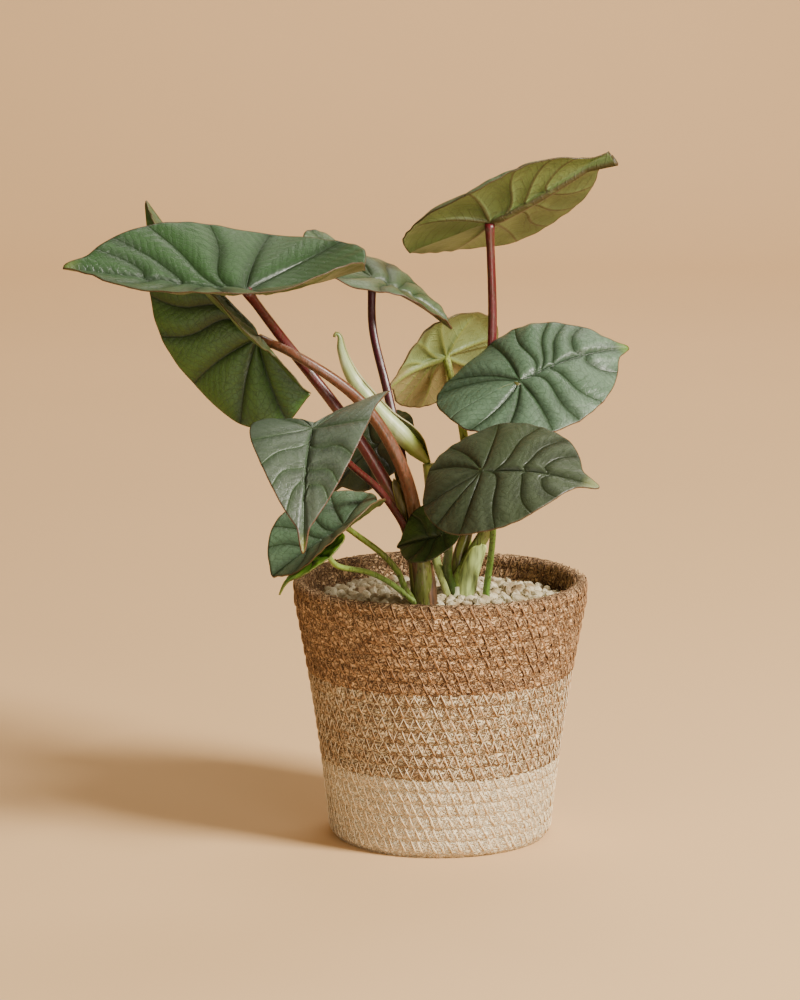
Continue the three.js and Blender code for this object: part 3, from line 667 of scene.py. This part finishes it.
def shapeBlade(leaf):
    isSmall = max(leaf["tip"], leaf["half"]) < leafDetail["small"]
    rings, spokes = leafDetail["coarse" if isSmall else "fine"]
    spread = np.linspace(-math.pi, math.pi, spokes + 1)
    share, signed = np.meshgrid(np.linspace(0, 1, rings + 1), spread, indexing="ij")
    left = signed >= 0
    angle = np.clip(np.abs(signed), 1e-4, math.pi - 1e-4)
    along, across = flatPoint(leaf, share, angle, left)
    sideways = np.where(left, across, -across)
    phase = np.where(left, *[veinPhase(veins, share, angle) for veins in leaf["veins"]])
    middle = spokes // 2
    gap = np.empty_like(phase)
    for half in (slice(0, middle), slice(middle, None)):
        steep = slopes(phase[:, half], along[:, half], sideways[:, half])
        gap[:, half] = np.clip(1 / np.maximum(steep, 0.02), 0.4, 40)
    edge = (1 - share) / np.maximum(slopes(share, along, sideways), 1e-3)
    fromMidrib = np.where(along > 0, np.abs(sideways), np.hypot(along, sideways))
    part = phase - np.floor(phase)
    distance = (0.5 - np.abs(part - 0.5)) * gap
    run = np.hypot(along, sideways)

    points = inPlace(leaf, bladePoint(leaf, share, angle, left))
    normal = unit(np.cross(np.gradient(points, axis=0), np.gradient(points, axis=1)))
    normal[0] = normal[2].mean(axis=0)
    normal[0] = unit(normal[0])
    full = np.minimum(gap, leafFinish["fullGap"]) / leafFinish["fullGap"]
    relief = leaf["relief"]
    quilt = relief * leafFinish["quilt"] * full * np.abs(np.sin(math.pi * part)) ** 0.8 * (1 - share ** 8)
    toTip = (1 - 0.85 * share) * relief ** 0.5
    groove = leafFinish["veinGroove"] * bell(distance, leafFinish["veinWidth"]) * toTip
    keel = leafFinish["midribGroove"] * bell(fromMidrib, leafFinish["midribWidth"]) * toTip
    frills = np.sin(leafFinish["frills"] * angle + 2 * np.sin(5 * angle) + leaf["wave"][1])
    frill = leafFinish["frill"] * relief * share ** 5 * frills
    height = leafFinish["above"] + quilt - 0.45 * relief * leafFinish["quilt"] - groove - keel + frill
    calm = np.minimum(run / leafFinish["calm"], 1)
    height = height * calm + leafFinish["above"] * (1 - calm)
    points = points + normal * height[..., None]

    def cell(row, column):
        return np.rint(row * rings).astype(int), np.rint(column * spokes).astype(int)

    blade, row, column = layOut("leaf_" + leaf["name"], rings, spokes, lambda *spot: points[cell(*spot)])
    at = cell(row, column)
    notes = {"phase": phase, "gap": gap, "midrib": fromMidrib, "edge": edge, "run": run,
             "reach": along / leaf["tip"]}
    for label, values in notes.items():
        note(blade, label, values[at])
    rib = leafFinish["veinKeel"] * bell(distance, 0.8) * toTip
    rib = rib + leafFinish["midribKeel"] * bell(fromMidrib, 1.3) * toTip
    weights = np.clip(leafFinish["web"] + rib, 0, 1)[at]
    group = blade.vertex_groups.new(name="ribs")
    for number, weight in enumerate(weights):
        group.add([number], float(weight), "REPLACE")
    closeSeams(blade)
    wear(blade, upperSide(leaf), lowerSide(leaf))
    thicken(blade, leafFinish["ribDepth"], "ribs", 1)
    return settle(blade, "blade_" + leaf["name"])


def veinsOf(inner, outer):
    return useGroup(veinLine, phase=attribute("phase"), gap=attribute("gap"), inner=inner, outer=outer)


def upperSide(leaf):
    # the quilted upper side
    material, shader = newMaterial("leaf_upper_" + leaf["name"], 0.42)
    point = objectPoint()
    line = veinsOf(0.2, 0.8)
    ribs = useGroup(sideRibs, distance=line["distance"], run=attribute("run"), point=point)
    cloud = grain(point, 34, 3.0)
    speck = grain(point, 700)
    tissue, groove = leaf["tissue"], leaf["groove"]
    # silver lightens the panel middles away from the veins: the leaf's own silver tone together with painted
    # sheen on the bulging panels
    silver = times(fade(line["distance"], 2.4, 6.5, 0, 0.42), fade(cloud, 0.3, 0.6))
    skin = layered(
        tissue,
        (fade(cloud, 0.35, 0.68), shaded(tissue, 0.8)),
        (fade(speck, 0.4, 0.75, 0, 0.3), shaded(tissue, 1.25)),
        (silver, [min(part * 1.22 + 8, 255) for part in tissue]),
        # the groove colour over the net, the side ribs, the vein lines and the midrib is the veins' own
        # darker green together with painted shade in the grooves and creases; the wide band along each vein
        # is painted shade
        (times(ribs["net"], 0.36), groove),
        (times(ribs["ribs"], 0.36), groove),
        (times(veinsOf(0.0, 3.6)["line"], 0.5), groove),
        (times(line["line"], 0.62), groove),
        (fade(attribute("midrib"), 0.1, 0.8, 0.5, 0), groove),
        (fade(attribute("reach"), 1.0, 1.14, 0, 0.9), leaf["tipTone"]),
        (fade(attribute("edge"), 0.15, 0.6, 0.75, 0), leaf["margin"]),
    )
    paint(shader, skin, fade(cloud, 0.3, 0.7, 0.38, 0.5))
    height = plus(times(ribs["swell"], 0.34), times(speck, 0.06))
    height = minus(minus(height, times(ribs["net"], 0.22)), times(line["line"], 0.7))
    raiseBy(shader, height, 0.5, 0.6)
    return material


def lowerSide(leaf):
    # the paler underside with its raised ribs
    material, shader = newMaterial("leaf_under_" + leaf["name"], 0.5)
    point = objectPoint()
    line = veinsOf(0.25, 0.85)
    ribs = useGroup(sideRibs, distance=line["distance"], run=attribute("run"), point=point)
    cloud = grain(point, 38, 3.0)
    under, rib = leaf["under"], leaf["rib"]
    layers = [(fade(cloud, 0.35, 0.68), shaded(under, 0.82))]
    if "lowTone" in leaf:
        apart = newNode("SeparateXYZ", {0: point})
        height = plus(apart.outputs["Z"], times(grain(point, 50), 0.008))
        layers.append((fade(height, 0.252, 0.259, 1, 0), leaf["lowTone"]))
    layers += [
        (times(ribs["net"], 0.22), rib),
        (times(ribs["ribs"], 0.35), rib),
        (times(line["line"], 0.72), rib),
        (fade(attribute("midrib"), 0.3, 1.2, 0.6, 0), rib),
        (fade(attribute("edge"), 0.25, 0.8, 0.8, 0), leaf["margin"]),
    ]
    paint(shader, layered(under, *layers), fade(cloud, 0.3, 0.7, 0.44, 0.58))
    raiseBy(shader, plus(times(ribs["ribs"], 0.5), times(ribs["net"], 0.3)), 0.6, 0.5)
    return material


for leaf in leaves:
    shapeBlade(leaf)
print("leaves shaped")


# Stalks

stalkFinish = {
    "upper_left": ((88, 92, 40), (82, 26, 28)), "back_left": ((86, 90, 40), (100, 60, 40)),
    "front_hanging": ((80, 62, 34), (72, 24, 26)), "lower_left": ((84, 98, 38), (96, 112, 48)),
    "small_left": ((112, 134, 62), (116, 142, 66)), "upper_middle": ((70, 66, 32), (64, 24, 34)),
    "behind_stalks": ((74, 78, 36), (84, 80, 40)), "small_base": ((48, 66, 22), (64, 84, 30)),
    "round_middle": ((98, 116, 48), (138, 150, 74)), "right_silver": ((142, 164, 84), (84, 80, 38)),
    "right_lower": ((94, 128, 52), (96, 124, 52)), "top_right": ((84, 88, 36), (84, 20, 26)),
    "rolled": ((160, 172, 104), (150, 166, 92)),
}
stalkShape = {"sunk": 1.1, "topSwell": 0.28, "topLength": 0.035, "footSwell": 0.25, "footLength": 0.14,
              "ribs": 6, "ribDepth": 0.035}


def stalkMaterial(name, low, high, speckle=(58, 44, 26)):
    material, shader = newMaterial("stalk_" + name, 0.36)
    point = objectPoint()
    long = stretched(point, (1, 1, 0.25))
    streak = grain(long, 420)
    cloud = grain(point, 60)
    skin = layered(
        low,
        (fade(plus(attribute("along"), times(cloud, 0.24)), 0.24, 0.5), high),
        (fade(streak, 0.5, 0.72, 0, 0.45), shaded(low, 0.6)),
        (fade(grain(long, 900, 1.0), 0.58, 0.68, 0, 0.75), speckle),
        (fade(grain(long, 1300, 1.0), 0.6, 0.68, 0, 0.32), [part + 0.35 * (200 - part) for part in high]),
    )
    paint(shader, skin, fade(cloud, 0.3, 0.7, 0.3, 0.45))
    raiseBy(shader, streak, 0.35, 0.4)
    return material


def shapeStalk(leaf):
    stops = [np.array(stop, float) for stop in leaf["route"]]
    at = np.array(leaf["at"], float)
    last = (at - stops[-1]) / np.linalg.norm(at - stops[-1])
    line = curveThrough(stops + [at - last * stalkShape["sunk"]], 240)
    low, high = leaf["girth"]

    def radiusAt(share, angle):
        swell = 1 + stalkShape["topSwell"] * bell(1 - share, stalkShape["topLength"])
        swell = swell + stalkShape["footSwell"] * bell(share, stalkShape["footLength"])
        ribs = 1 + stalkShape["ribDepth"] * np.cos(stalkShape["ribs"] * angle + 3 * share)
        return (low + (high - low) * share) * swell * ribs

    stalk = tube("petiole_" + leaf["name"], line, 72, 20, radiusAt)
    wear(stalk, stalkMaterial(leaf["name"], *stalkFinish[leaf["name"]]))
    return settle(stalk, "stalk_" + leaf["name"])


for leaf in leaves:
    shapeStalk(leaf)
print("stalks shaped")


# Crowns, where the stalks part above the pumice

crowns = {
    "left": {"route": [(-7, -25, 98), (-9, -25, 134), (-12, -25, 160)], "girth": (5.6, 6.9, 5.6),
             "tone": ((104, 116, 56), (94, 96, 44)),
             "sheaths": [
                 ([(-10, -25, 126), (-14, -26, 158), (-18, -27, 176), (-27, -28.5, 203)], 5.2, 130, 295,
                  (96, 92, 44)),
                 ([(-8, -26, 124), (-9.5, -26, 146), (-12, -27, 165)], 6.6, 150, 245, (96, 100, 48)),
                 ([(-8, -25, 124), (-8.5, -25, 140), (-10, -25, 156)], 7.5, 110, 345, (88, 60, 36)),
             ]},
    "right": {"route": [(9, 0, 98), (10, 0, 134), (14, 0, 156)], "girth": (5.4, 7.2, 5.2),
              "tone": ((176, 190, 130), (120, 140, 62)),
              "sheaths": [
                  ([(9.4, -0.6, 121), (9.6, -0.8, 131), (10, -1, 139)], 8.4, 250, 285, (206, 210, 172)),
                  ([(11, -1, 122), (15, -2, 143), (21, -4, 163)], 7.0, 190, 285, (168, 186, 112)),
              ]},
}


def sheath(name, stops, radius, wrap, facing, colour):
    # a leaf base that wraps part of the way round and ends in a rounded edge
    line = evenly(curveThrough(stops, 120))

    def place(row, column):
        half = math.radians(wrap) / 2 * np.sqrt(np.maximum(1 - row ** 6, 0)) + 0.02
        angle = math.radians(facing) + (0.5 - column) * 2 * half
        # directions in the level plane keep the opening where it is meant to be
        reach = radius * (1 - 0.3 * row) + 0.15 * np.sin(9 * row + 5 * column)
        return pick(line, row) + circling(reach, angle, 0 * angle)

    piece, row, column = layOut(name, 28, 16, place)
    note(piece, "along", row)
    note(piece, "rim", np.abs(column - 0.5) * 2)
    material, shader = newMaterial(name, 0.5)
    streak = grain(stretched(objectPoint(), (1, 1, 0.12)), 520, 3.0)
    skin = layered(
        colour,
        (fade(streak, 0.35, 0.7), shaded(colour, 0.62)),
        (fade(attribute("rim"), 0.72, 0.95, 0, 0.8), [min(part * 1.25, 235) for part in colour]),
    )
    paint(shader, skin)
    raiseBy(shader, streak, 0.5, 0.4)
    wear(piece, material)
    thicken(piece, 0.5)
    return piece


def shapeCrown(name, crown):
    line = curveThrough(crown["route"], 120)
    girth = crown["girth"]

    def radiusAt(share, angle):
        base = np.interp(share, (0, 0.5, 0.78, 1), (*girth, 0.3))
        return base * (1 + 0.09 * np.cos(3 * angle + 2 * share) + 0.04 * np.cos(7 * angle))

    core = tube("crown_core_" + name, line, 40, 36, radiusAt)
    wear(core, stalkMaterial("crown_" + name, *crown["tone"]))
    parts = [core]
    for number, (stops, radius, wrap, facing, colour) in enumerate(crown["sheaths"]):
        parts.append(sheath(f"sheath_{name}_{number}", stops, radius, wrap, facing, colour))
    settle(gather("crown_of_sheaths_" + name, parts), "crown_" + name)


for name, crown in crowns.items():
    shapeCrown(name, crown)
print("crowns shaped")


# The new leaf, still rolled

rolled = {
    "body": [(-57.4, -14.6, 277), (-56.6, -14.2, 279), (-54.6, -14, 277.6), (-53.4, -14, 270),
             (-48, -13, 256), (-35, -12, 238.5), (-20, -10, 222.5), (-6.5, -8, 207)],
    "stops": (0, 0.05, 0.12, 0.25, 0.45, 0.6, 0.75, 0.88, 0.95, 1),
    "radii": (1.2, 2.9, 4.8, 5.6, 5.2, 4.6, 3.8, 2.6, 1.3, 0.6),
    "route": [(5.5, -4, 130), (1.8, -6, 141), (-1.7, -8, 151), (-3.2, -9, 160), (-4.7, -9, 179),
              (-5.6, -8, 194)],
    "girth": (2.3, 2.6), "turns": 1.35,
}


def shapeRolledLeaf():
    pointAt = aboutLine(evenly(curveThrough(rolled["body"][::-1], 200)))

    def place(row, column):
        radius = np.interp(row, rolled["stops"], rolled["radii"])
        angle = -2 * math.pi * (rolled["turns"] * column + 0.12 + 0.1 * row)
        loose = 2.6 * column ** 7 * bell(row - 0.2, 0.13)
        scroll = radius * (0.82 + 0.2 * column) + 0.25 * np.sin(14 * row) * column ** 3 + loose
        return pointAt(row, angle, scroll)

    body, row, column = layOut("scrolled_leaf", 80, 44, place)
    note(body, "along", row)
    note(body, "turn", column)
    material, shader = newMaterial("rolled_leaf", 0.38)
    point = objectPoint()
    turn, along = attribute("turn"), attribute("along")
    streak = grain(stretched(point, (1, 1, 0.4)), 160, 3.0)
    cloud = grain(stretched(point, (1, 1, 0.5)), 70)
    bands = calculate("FRACT", plus(times(turn, 9.0), along))
    skin = layered(
        (200, 208, 166),
        (fade(streak, 0.3, 0.7), (156, 174, 116)),
        (fade(cloud, 0.48, 0.62, 0, 0.7), (118, 140, 78)),
        (fade(along, 0.72, 1.0), (112, 130, 72)),
        (fade(plus(along, times(turn, 0.1)), 0.2, 0.36, 0.9, 0), (116, 130, 56)),
        (fade(bands, 0.8, 1.0, 0, 0.4), (112, 128, 70)),
        (fade(turn, 0.95, 1.0, 0, 0.8), (120, 104, 58)),
    )
    paint(shader, skin)
    raiseBy(shader, bands, 0.5, 0.5)
    wear(body, material)
    thicken(body, 0.6)
    settle(body, "leaf_rolled")

    line = curveThrough(rolled["route"] + [rolled["body"][-1]], 200)
    low, high = rolled["girth"]

    def radiusAt(share, angle):
        return (low + (high - low) * share + 0.8 * share ** 4) * (1 + 0.04 * np.cos(5 * angle))

    stalk = tube("rolled_leaf_stalk", line, 60, 22, radiusAt)
    wear(stalk, stalkMaterial("rolled", *stalkFinish["rolled"], (120, 128, 70)))
    settle(stalk, "stalk_rolled")


shapeRolledLeaf()
print("rolled leaf shaped")


# Basket of coiled grass rope, sewn row on row

basket = {
    "top": 142.3, "pitch": 6.94, "rows": 20, "rimDrop": 3.47, "wallFoot": 7, "wallRadius": 61.2, "taper": 0.1,
    "flare": 0.0004, "widest": 80.2, "ropeHalfDepth": 3.3, "ropeHalfHeight": 6.2, "rimHalfHeight": 3.9,
    "footRadius": 59.6, "footHeight": 5.0, "soleRings": 8, "soleHeight": 3.6, "stitches": 72,
    "stitchWidth": 0.3, "stitchFlatness": 0.55, "stitchReach": 0.52, "stitchLean": 1.75,
}
# second is the width of the strand that leans the other way, as a share of the first
# gap is painted shade in the crevices between the fibres; the slit colour is the painted shadow beside each
# stitch
bands = {
    "basket_rope_cream": {
        "rows": (0, 6), "light": (255, 244, 210), "dark": (250, 230, 190), "gap": (214, 186, 146),
        "thread": (252, 238, 202), "slit": (186, 156, 118), "second": 0.45},
    "basket_rope_mixed": {
        "rows": (6, 13), "light": (255, 234, 190), "dark": (190, 156, 116), "gap": (96, 72, 50),
        "thread": (252, 232, 194), "slit": (116, 88, 62), "second": 0.85},
    "basket_rope_brown": {
        "rows": (13, 20), "light": (244, 200, 148), "dark": (160, 124, 90), "gap": (68, 48, 34),
        "thread": (190, 150, 110), "slit": (62, 44, 32), "second": 0.4},
}


def wallRadius(height):
    rise = np.maximum(height - basket["wallFoot"], 0)
    slope = basket["taper"] * rise + basket["flare"] * rise ** 2
    return np.minimum(basket["wallRadius"] + slope, basket["widest"])


def rowHeight(number):
    return basket["top"] - basket["rimDrop"] - basket["pitch"] * (basket["rows"] - 1 - number)


def ropeRing(name, radius, height, seed, segments=180, halfHeight=basket["ropeHalfHeight"]):
    random = np.random.default_rng(seed)
    phases = random.uniform(0, 6.28, 6)

    def place(row, column):
        around = 2 * math.pi * row + math.pi / 2
        turn = -2 * math.pi * column
        wander = 0.16 * np.sin(3 * around + phases[0]) + 0.12 * np.sin(11 * around + phases[1])
        lumps = 0.12 * np.sin(37 * around + phases[2] + 2 * np.sin(turn))
        lumps = lumps + 0.1 * np.sin(53 * around + 3 * turn)
        depth = basket["ropeHalfDepth"] + lumps
        out = radius + wander * 0.6 + np.cos(turn) * depth
        up = height + 0.25 * np.sin(5 * around + phases[3]) + np.sin(turn) * (halfHeight + lumps)
        return circling(out, around, np.maximum(up, 0))

    piece = layOut(name, segments, 14, place)[0]
    measured = piece.data.uv_layers.active
    corners = np.empty(len(measured.data) * 2)
    measured.data.foreach_get("uv", corners)
    corners[0::2] = corners[0::2] * 2 * math.pi * radius + 37 * seed
    corners[1::2] = corners[1::2] * 23 + 11 * seed
    measured.data.foreach_set("uv", corners)
    closeSeams(piece)
    return piece


def stitchTemplate():
    # one strand of raffia, bowed over the rope; x is across, y outwards, z up, in rows and widths
    def place(row, column):
        closed = (row > 0.01) & (row < 0.99)
        share = np.clip((row * 6 - 1) / 4, 0, 1)
        turn = -2 * math.pi * column
        return circling(closed, turn, share * 2 - 1)

    piece = layOut("stitch", 6, 4, place)[0]
    closeSeams(piece)
    return piece


def sewRow(number, template, seed, second, inside=False):
    # each stitch is two strands, and a dark slit beside the strand on the left, where it pulls the rope in:
    # painted shadow of the strand
    random = np.random.default_rng(seed)
    height = rowHeight(number)
    strands, slits = [], []
    count = basket["stitches"]
    corners = cornersOf(template)
    face = -1 if inside else 1
    for stitch in range(count):
        start = 2 * math.pi * (stitch + 0.5 * (number % 2) + random.uniform(-0.2, 0.2)) / count
        # each has a lean, a width, a reach, a lift off the rope and a shift aside
        kinds = ((1, 1.0, 1.0, 0.34, 0, strands), (1, 1.5, 0.98, 0.14, -0.56, slits),
                 (-1, second, 0.86, 0.34, 0, strands))
        leans = random.uniform(0.75, 1.2, 2)
        for lean, width, reach, lift, aside, kept in kinds:
            share = corners[:, 2] * reach
            drop = -share * basket["pitch"] * basket["stitchReach"]
            inner = np.clip(1 - (drop / basket["ropeHalfHeight"]) ** 2, 0, 1)
            bow = basket["ropeHalfDepth"] * np.sqrt(inner)
            radius = wallRadius(height) - basket["ropeHalfDepth"] + face * (bow + lift)
            radius = radius + corners[:, 1] * basket["stitchWidth"] * basket["stitchFlatness"] * width
            side = 0 if lean > 0 else math.pi / count
            slant = lean * leans[0 if lean > 0 else 1] * basket["stitchLean"]
            shift = share * slant + aside + corners[:, 0] * basket["stitchWidth"] * width
            angle = start + side + shift / wallRadius(height)
            kept.append(circling(radius, angle, height + drop))
    return strands, slits


def ropeMaterial(name, band):
    material, shader = newMaterial(name, 0.78, 0.25)
    look = useGroup(fibres, point=newNode("UVMap").outputs["UV"])
    rope = layered(
        band["dark"],
        (fade(look["tones"], 0.36, 0.62), band["light"]),
        (fade(look["patches"], 0.44, 0.62, 0, 0.4), band["dark"]),
        # the gap colour along the crevices is painted shade between the fibres
        (times(look["slits"], 0.92), band["gap"]),
    )
    paint(shader, rope)
    raiseBy(shader, look["strands"], 1.0, 2.3)
    return material


def threadMaterial(name, band):
    material, shader = newMaterial(name, 0.6, 0.35)
    point = objectPoint()
    streak = grain(stretched(point, (1, 1, 0.3)), 900)
    worn = fade(grain(point, 140), 0.38, 0.62, 0, 0.85)
    thread = band["thread"]
    paint(shader, layered(thread, (fade(streak, 0.35, 0.65), shaded(thread, 0.82)), (worn, band["dark"])))
    raiseBy(shader, streak, 0.5, 0.4)
    return material


def shadowSlitMaterial(name, band):
    # the dark sliver beside each stitch: painted shadow on the rope
    material, shader = newMaterial(name, 0.95, 0.1)
    patch = fade(grain(objectPoint(), 260), 0.42, 0.6)
    paint(shader, layered(band["slit"], (patch, band["dark"])))
    return material


def shapeBand(node, band, template):
    ropes = []
    first, last = band["rows"]
    for number in range(first, last):
        height = rowHeight(number)
        radius = float(wallRadius(height)) - basket["ropeHalfDepth"]
        half = basket["rimHalfHeight"] if number == basket["rows"] - 1 else basket["ropeHalfHeight"]
        ropes.append(ropeRing(f"rope_{number}", radius, height, number + 3, 180, half))
    if first == 0:
        foot = basket["footRadius"] - basket["ropeHalfDepth"]
        ropes.append(ropeRing("rope_foot", foot, basket["footHeight"], 91, 150))
        for ring in range(basket["soleRings"]):
            radius = foot - basket["pitch"] * (ring + 1)
            if radius > 2:
                ropes.append(ropeRing(f"rope_sole_{ring}", radius, basket["soleHeight"], 51 + ring, 64))
    rope = gather(node + "_rope", ropes)
    wear(rope, ropeMaterial(node, band))
    rows = [sewRow(number, template, number + 40, band["second"]) for number in range(first, last)]
    if last == basket["rows"]:
        for number in (last - 2, last - 1):
            rows.append(sewRow(number, template, number + 80, band["second"], True))
    sewing = copiesOf(node + "_sewing", template, [place for strands, slits in rows for place in strands])
    wear(sewing, threadMaterial(node + "_thread", band))
    # dark slivers beside the stitches: painted shadow of each stitch on the rope
    slits = copiesOf(node + "_slits", template, [place for strands, slits in rows for place in slits])
    wear(slits, shadowSlitMaterial(node + "_slit", band))
    whole = gather("coil_" + node[7:], [rope, sewing, slits])
    settle(whole, node)


template = stitchTemplate()
for node, band in bands.items():
    shapeBand(node, band, template)
bpy.data.objects.remove(template, do_unlink=True)
print("basket sewn")


# Pumice on the soil

# clear holds the round places where the crowns and a stalk stand
pumice = {
    "bottom": 122, "edge": 70.6, "border": 1.5, "reach": 71.8, "rim": 129.6, "dome": 4, "bedDrop": 4,
    "spacing": 5.3, "drops": (0.9, 2.6), "sunk": 0.15, "tries": 9000, "seed": 11, "size": (2.1, 4.6),
    "width": (0.68, 1), "height": (0.55, 0.9), "cuts": 4, "cutAt": (0.62, 0.9), "cutDepth": 0.85,
    "roughness": 0.07, "clear": ((-9, -25, 7.6), (10, 0, 7.8), (24.6, -6, 2.6)),
}


def topOfPumice(x, y):
    reach = np.hypot(x, y) / pumice["reach"]
    return pumice["rim"] + pumice["dome"] * (1 - reach ** 2)


def pebblePlaces(random):
    kept = []
    for _ in range(pumice["tries"]):
        reach = pumice["edge"] * math.sqrt(random.uniform())
        turn = random.uniform(0, 2 * math.pi)
        spot = np.array([reach * math.cos(turn), reach * math.sin(turn)])
        if reach > pumice["edge"] - pumice["border"]:
            continue
        if any(math.hypot(spot[0] - x, spot[1] - y) < clear for x, y, clear in pumice["clear"]):
            continue
        if kept and np.min(np.linalg.norm(np.array(kept) - spot, axis=1)) < pumice["spacing"]:
            continue
        kept.append(spot)
    return kept


def shapePumice():
    random = np.random.default_rng(pumice["seed"])
    deselect()
    bpy.ops.mesh.primitive_ico_sphere_add(subdivisions=2, radius=1 / perMetre)
    pebble = bpy.context.active_object
    corners = cornersOf(pebble)
    places = []
    for drop in pumice["drops"]:
        for spot in pebblePlaces(random):
            size = random.uniform(*pumice["size"])
            turn, _ = np.linalg.qr(random.normal(size=(3, 3)))
            shape = corners * (1, random.uniform(*pumice["width"]), random.uniform(*pumice["height"]))
            for _ in range(pumice["cuts"]):
                facing = unit(random.normal(size=3))
                depth = random.uniform(*pumice["cutAt"])
                over = np.maximum(shape @ facing - depth, 0)
                shape = shape - over[:, None] * facing * pumice["cutDepth"]
            shape = shape + random.normal(scale=pumice["roughness"], size=shape.shape)
            stone = shape @ turn * size
            height = topOfPumice(*spot) - drop - size * pumice["sunk"]
            places.append(stone + (*spot, height))
    stones = copiesOf("pumice_stones", pebble, places)
    bpy.data.objects.remove(pebble, do_unlink=True)

    def bed(row, column):
        turn = 2 * math.pi * column
        reach = np.interp(row, (0, 0.9, 0.95, 1), (0, pumice["edge"], pumice["edge"], 0))
        top = topOfPumice(reach * np.cos(turn), reach * np.sin(turn)) - pumice["bedDrop"]
        low = np.where(row > 0.92, pumice["bottom"] + 0.2, top)
        return circling(reach, turn, low)

    base = layOut("pumice_bed", 20, 60, bed)[0]
    closeSeams(base)
    bpy.context.view_layer.objects.active = base
    bpy.ops.object.mode_set(mode="EDIT")
    bpy.ops.mesh.select_all(action="SELECT")
    bpy.ops.mesh.normals_make_consistent(inside=False)
    bpy.ops.object.mode_set(mode="OBJECT")
    material, shader = newMaterial("pumice_stone", 0.88, 0.2)
    point = objectPoint()
    pits = grain(point, 1500, 3.0, 0.6)
    stone = layered(
        (204, 193, 162),
        (fade(grain(point, 95, 1.0), 0.36, 0.62), (162, 147, 114)),
        (fade(grain(point, 60), 0.53, 0.62, 0, 0.8), (132, 106, 74)),
        # the pits are darker: painted shade in the pores
        (fade(pits, 0.3, 0.45, 0.5, 0), (120, 104, 84)),
    )
    paint(shader, stone)
    raiseBy(shader, pits, 0.8, 0.7)
    wear(stones, material)
    # the bed under the stones is dark: painted shade in the gaps between the stones
    material, shader = newMaterial("pumice_gap_shade", 0.95, 0.1)
    gapMottle = grain(objectPoint(), 420, 4.0)
    paint(shader, layered((58, 44, 30), (fade(gapMottle, 0.35, 0.65), (120, 98, 72))))
    raiseBy(shader, gapMottle, 0.8, 1.0)
    wear(base, material)
    settle(gather("pumice_cover", [stones, base]), "pumice", False)


shapePumice()
print("pumice laid")


# Liner and soil keep their solids

def dress(node, material):
    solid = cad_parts[node]
    solid.data.materials.clear()
    wear(solid, material)


def dressCarried():
    material, shader = newMaterial("liner_plastic", 0.45)
    point = objectPoint()
    paint(shader, layered((44, 46, 44), (fade(grain(point, 120, 4.0), 0.4, 0.65), (66, 66, 62))))
    raiseBy(shader, grain(point, 900), 0.2, 0.3)
    dress("liner", material)

    material, shader = newMaterial("potting_soil", 0.95, 0.2)
    crumbs = grain(objectPoint(), 260, 5.0, 0.7)
    paint(shader, layered((44, 32, 24), (fade(crumbs, 0.35, 0.65), (92, 70, 52))))
    raiseBy(shader, crumbs, 1.0, 2.0)
    dress("soil", material)


dressCarried()


# Floor, lights and air

studio = {
    "front": 14000, "length": 20000, "width": 28000, "curveAt": 2750, "curveRun": 1600, "curveRadius": 1019,
    "floor": (219, 182, 134), "air": (246, 212, 170), "airStrength": 0.3,
    "lights": [
        ("key", (1540, -1000, 1560), (0, 0, 200), 600, 131, (1.0, 0.945, 0.86)),
        ("fill", (-1500, -1600, 360), (0, 0, 150), 1300, 10, (1.0, 0.955, 0.92)),
        ("front", (1100, -2300, 330), (0, 0, 110), 900, 30, (1.0, 0.94, 0.85)),
        ("wall", (500, 1900, 2700), (0, 3300, 700), 1800, 74, (1.0, 0.95, 0.88)),
    ],
}


def setStage():
    def sweep(row, column):
        # floor, a wide curve and a wall, in one wide sheet
        past = row * studio["length"] - studio["front"] - studio["curveAt"]
        bend = np.clip(past / studio["curveRun"], 0, 1) * math.pi / 2
        along = np.minimum(past, 0) + studio["curveAt"] + studio["curveRadius"] * np.sin(bend)
        up = studio["curveRadius"] * (1 - np.cos(bend)) + np.maximum(past - studio["curveRun"], 0)
        return np.stack([(0.5 - column) * studio["width"], along, up], axis=-1)

    floor = layOut("studio_floor", 400, 4, sweep)[0]
    material, shader = newMaterial("studio_paper", 0.9, 0.1)
    cloud = fade(grain(objectPoint(), 1.2), 0.3, 0.7)
    paint(shader, layered(studio["floor"], (cloud, shaded(studio["floor"], 0.985))))
    wear(floor, material)
    floor.data.polygons.foreach_set("use_smooth", [True] * len(floor.data.polygons))

    for name, spot, aim, size, power, colour in studio["lights"]:
        deselect()
        place = np.array(spot) / perMetre
        bpy.ops.object.light_add(type="AREA", location=place.tolist())
        lamp = bpy.context.active_object
        lamp.name = "light_" + name
        lamp.data.size = size / perMetre
        lamp.data.energy = power
        lamp.data.color = colour
        away = place - np.array(aim) / perMetre
        level = math.hypot(away[0], away[1])
        lamp.rotation_euler = (math.atan2(level, away[2]), 0, math.atan2(away[1], away[0]) + math.pi / 2)

    world = bpy.data.worlds.new("studio_air")
    world.use_nodes = True
    air = world.node_tree.nodes["Background"]
    air.inputs["Color"].default_value = tone(studio["air"])
    air.inputs["Strength"].default_value = studio["airStrength"]
    bpy.context.scene.world = world


setStage()
print("stage lit")
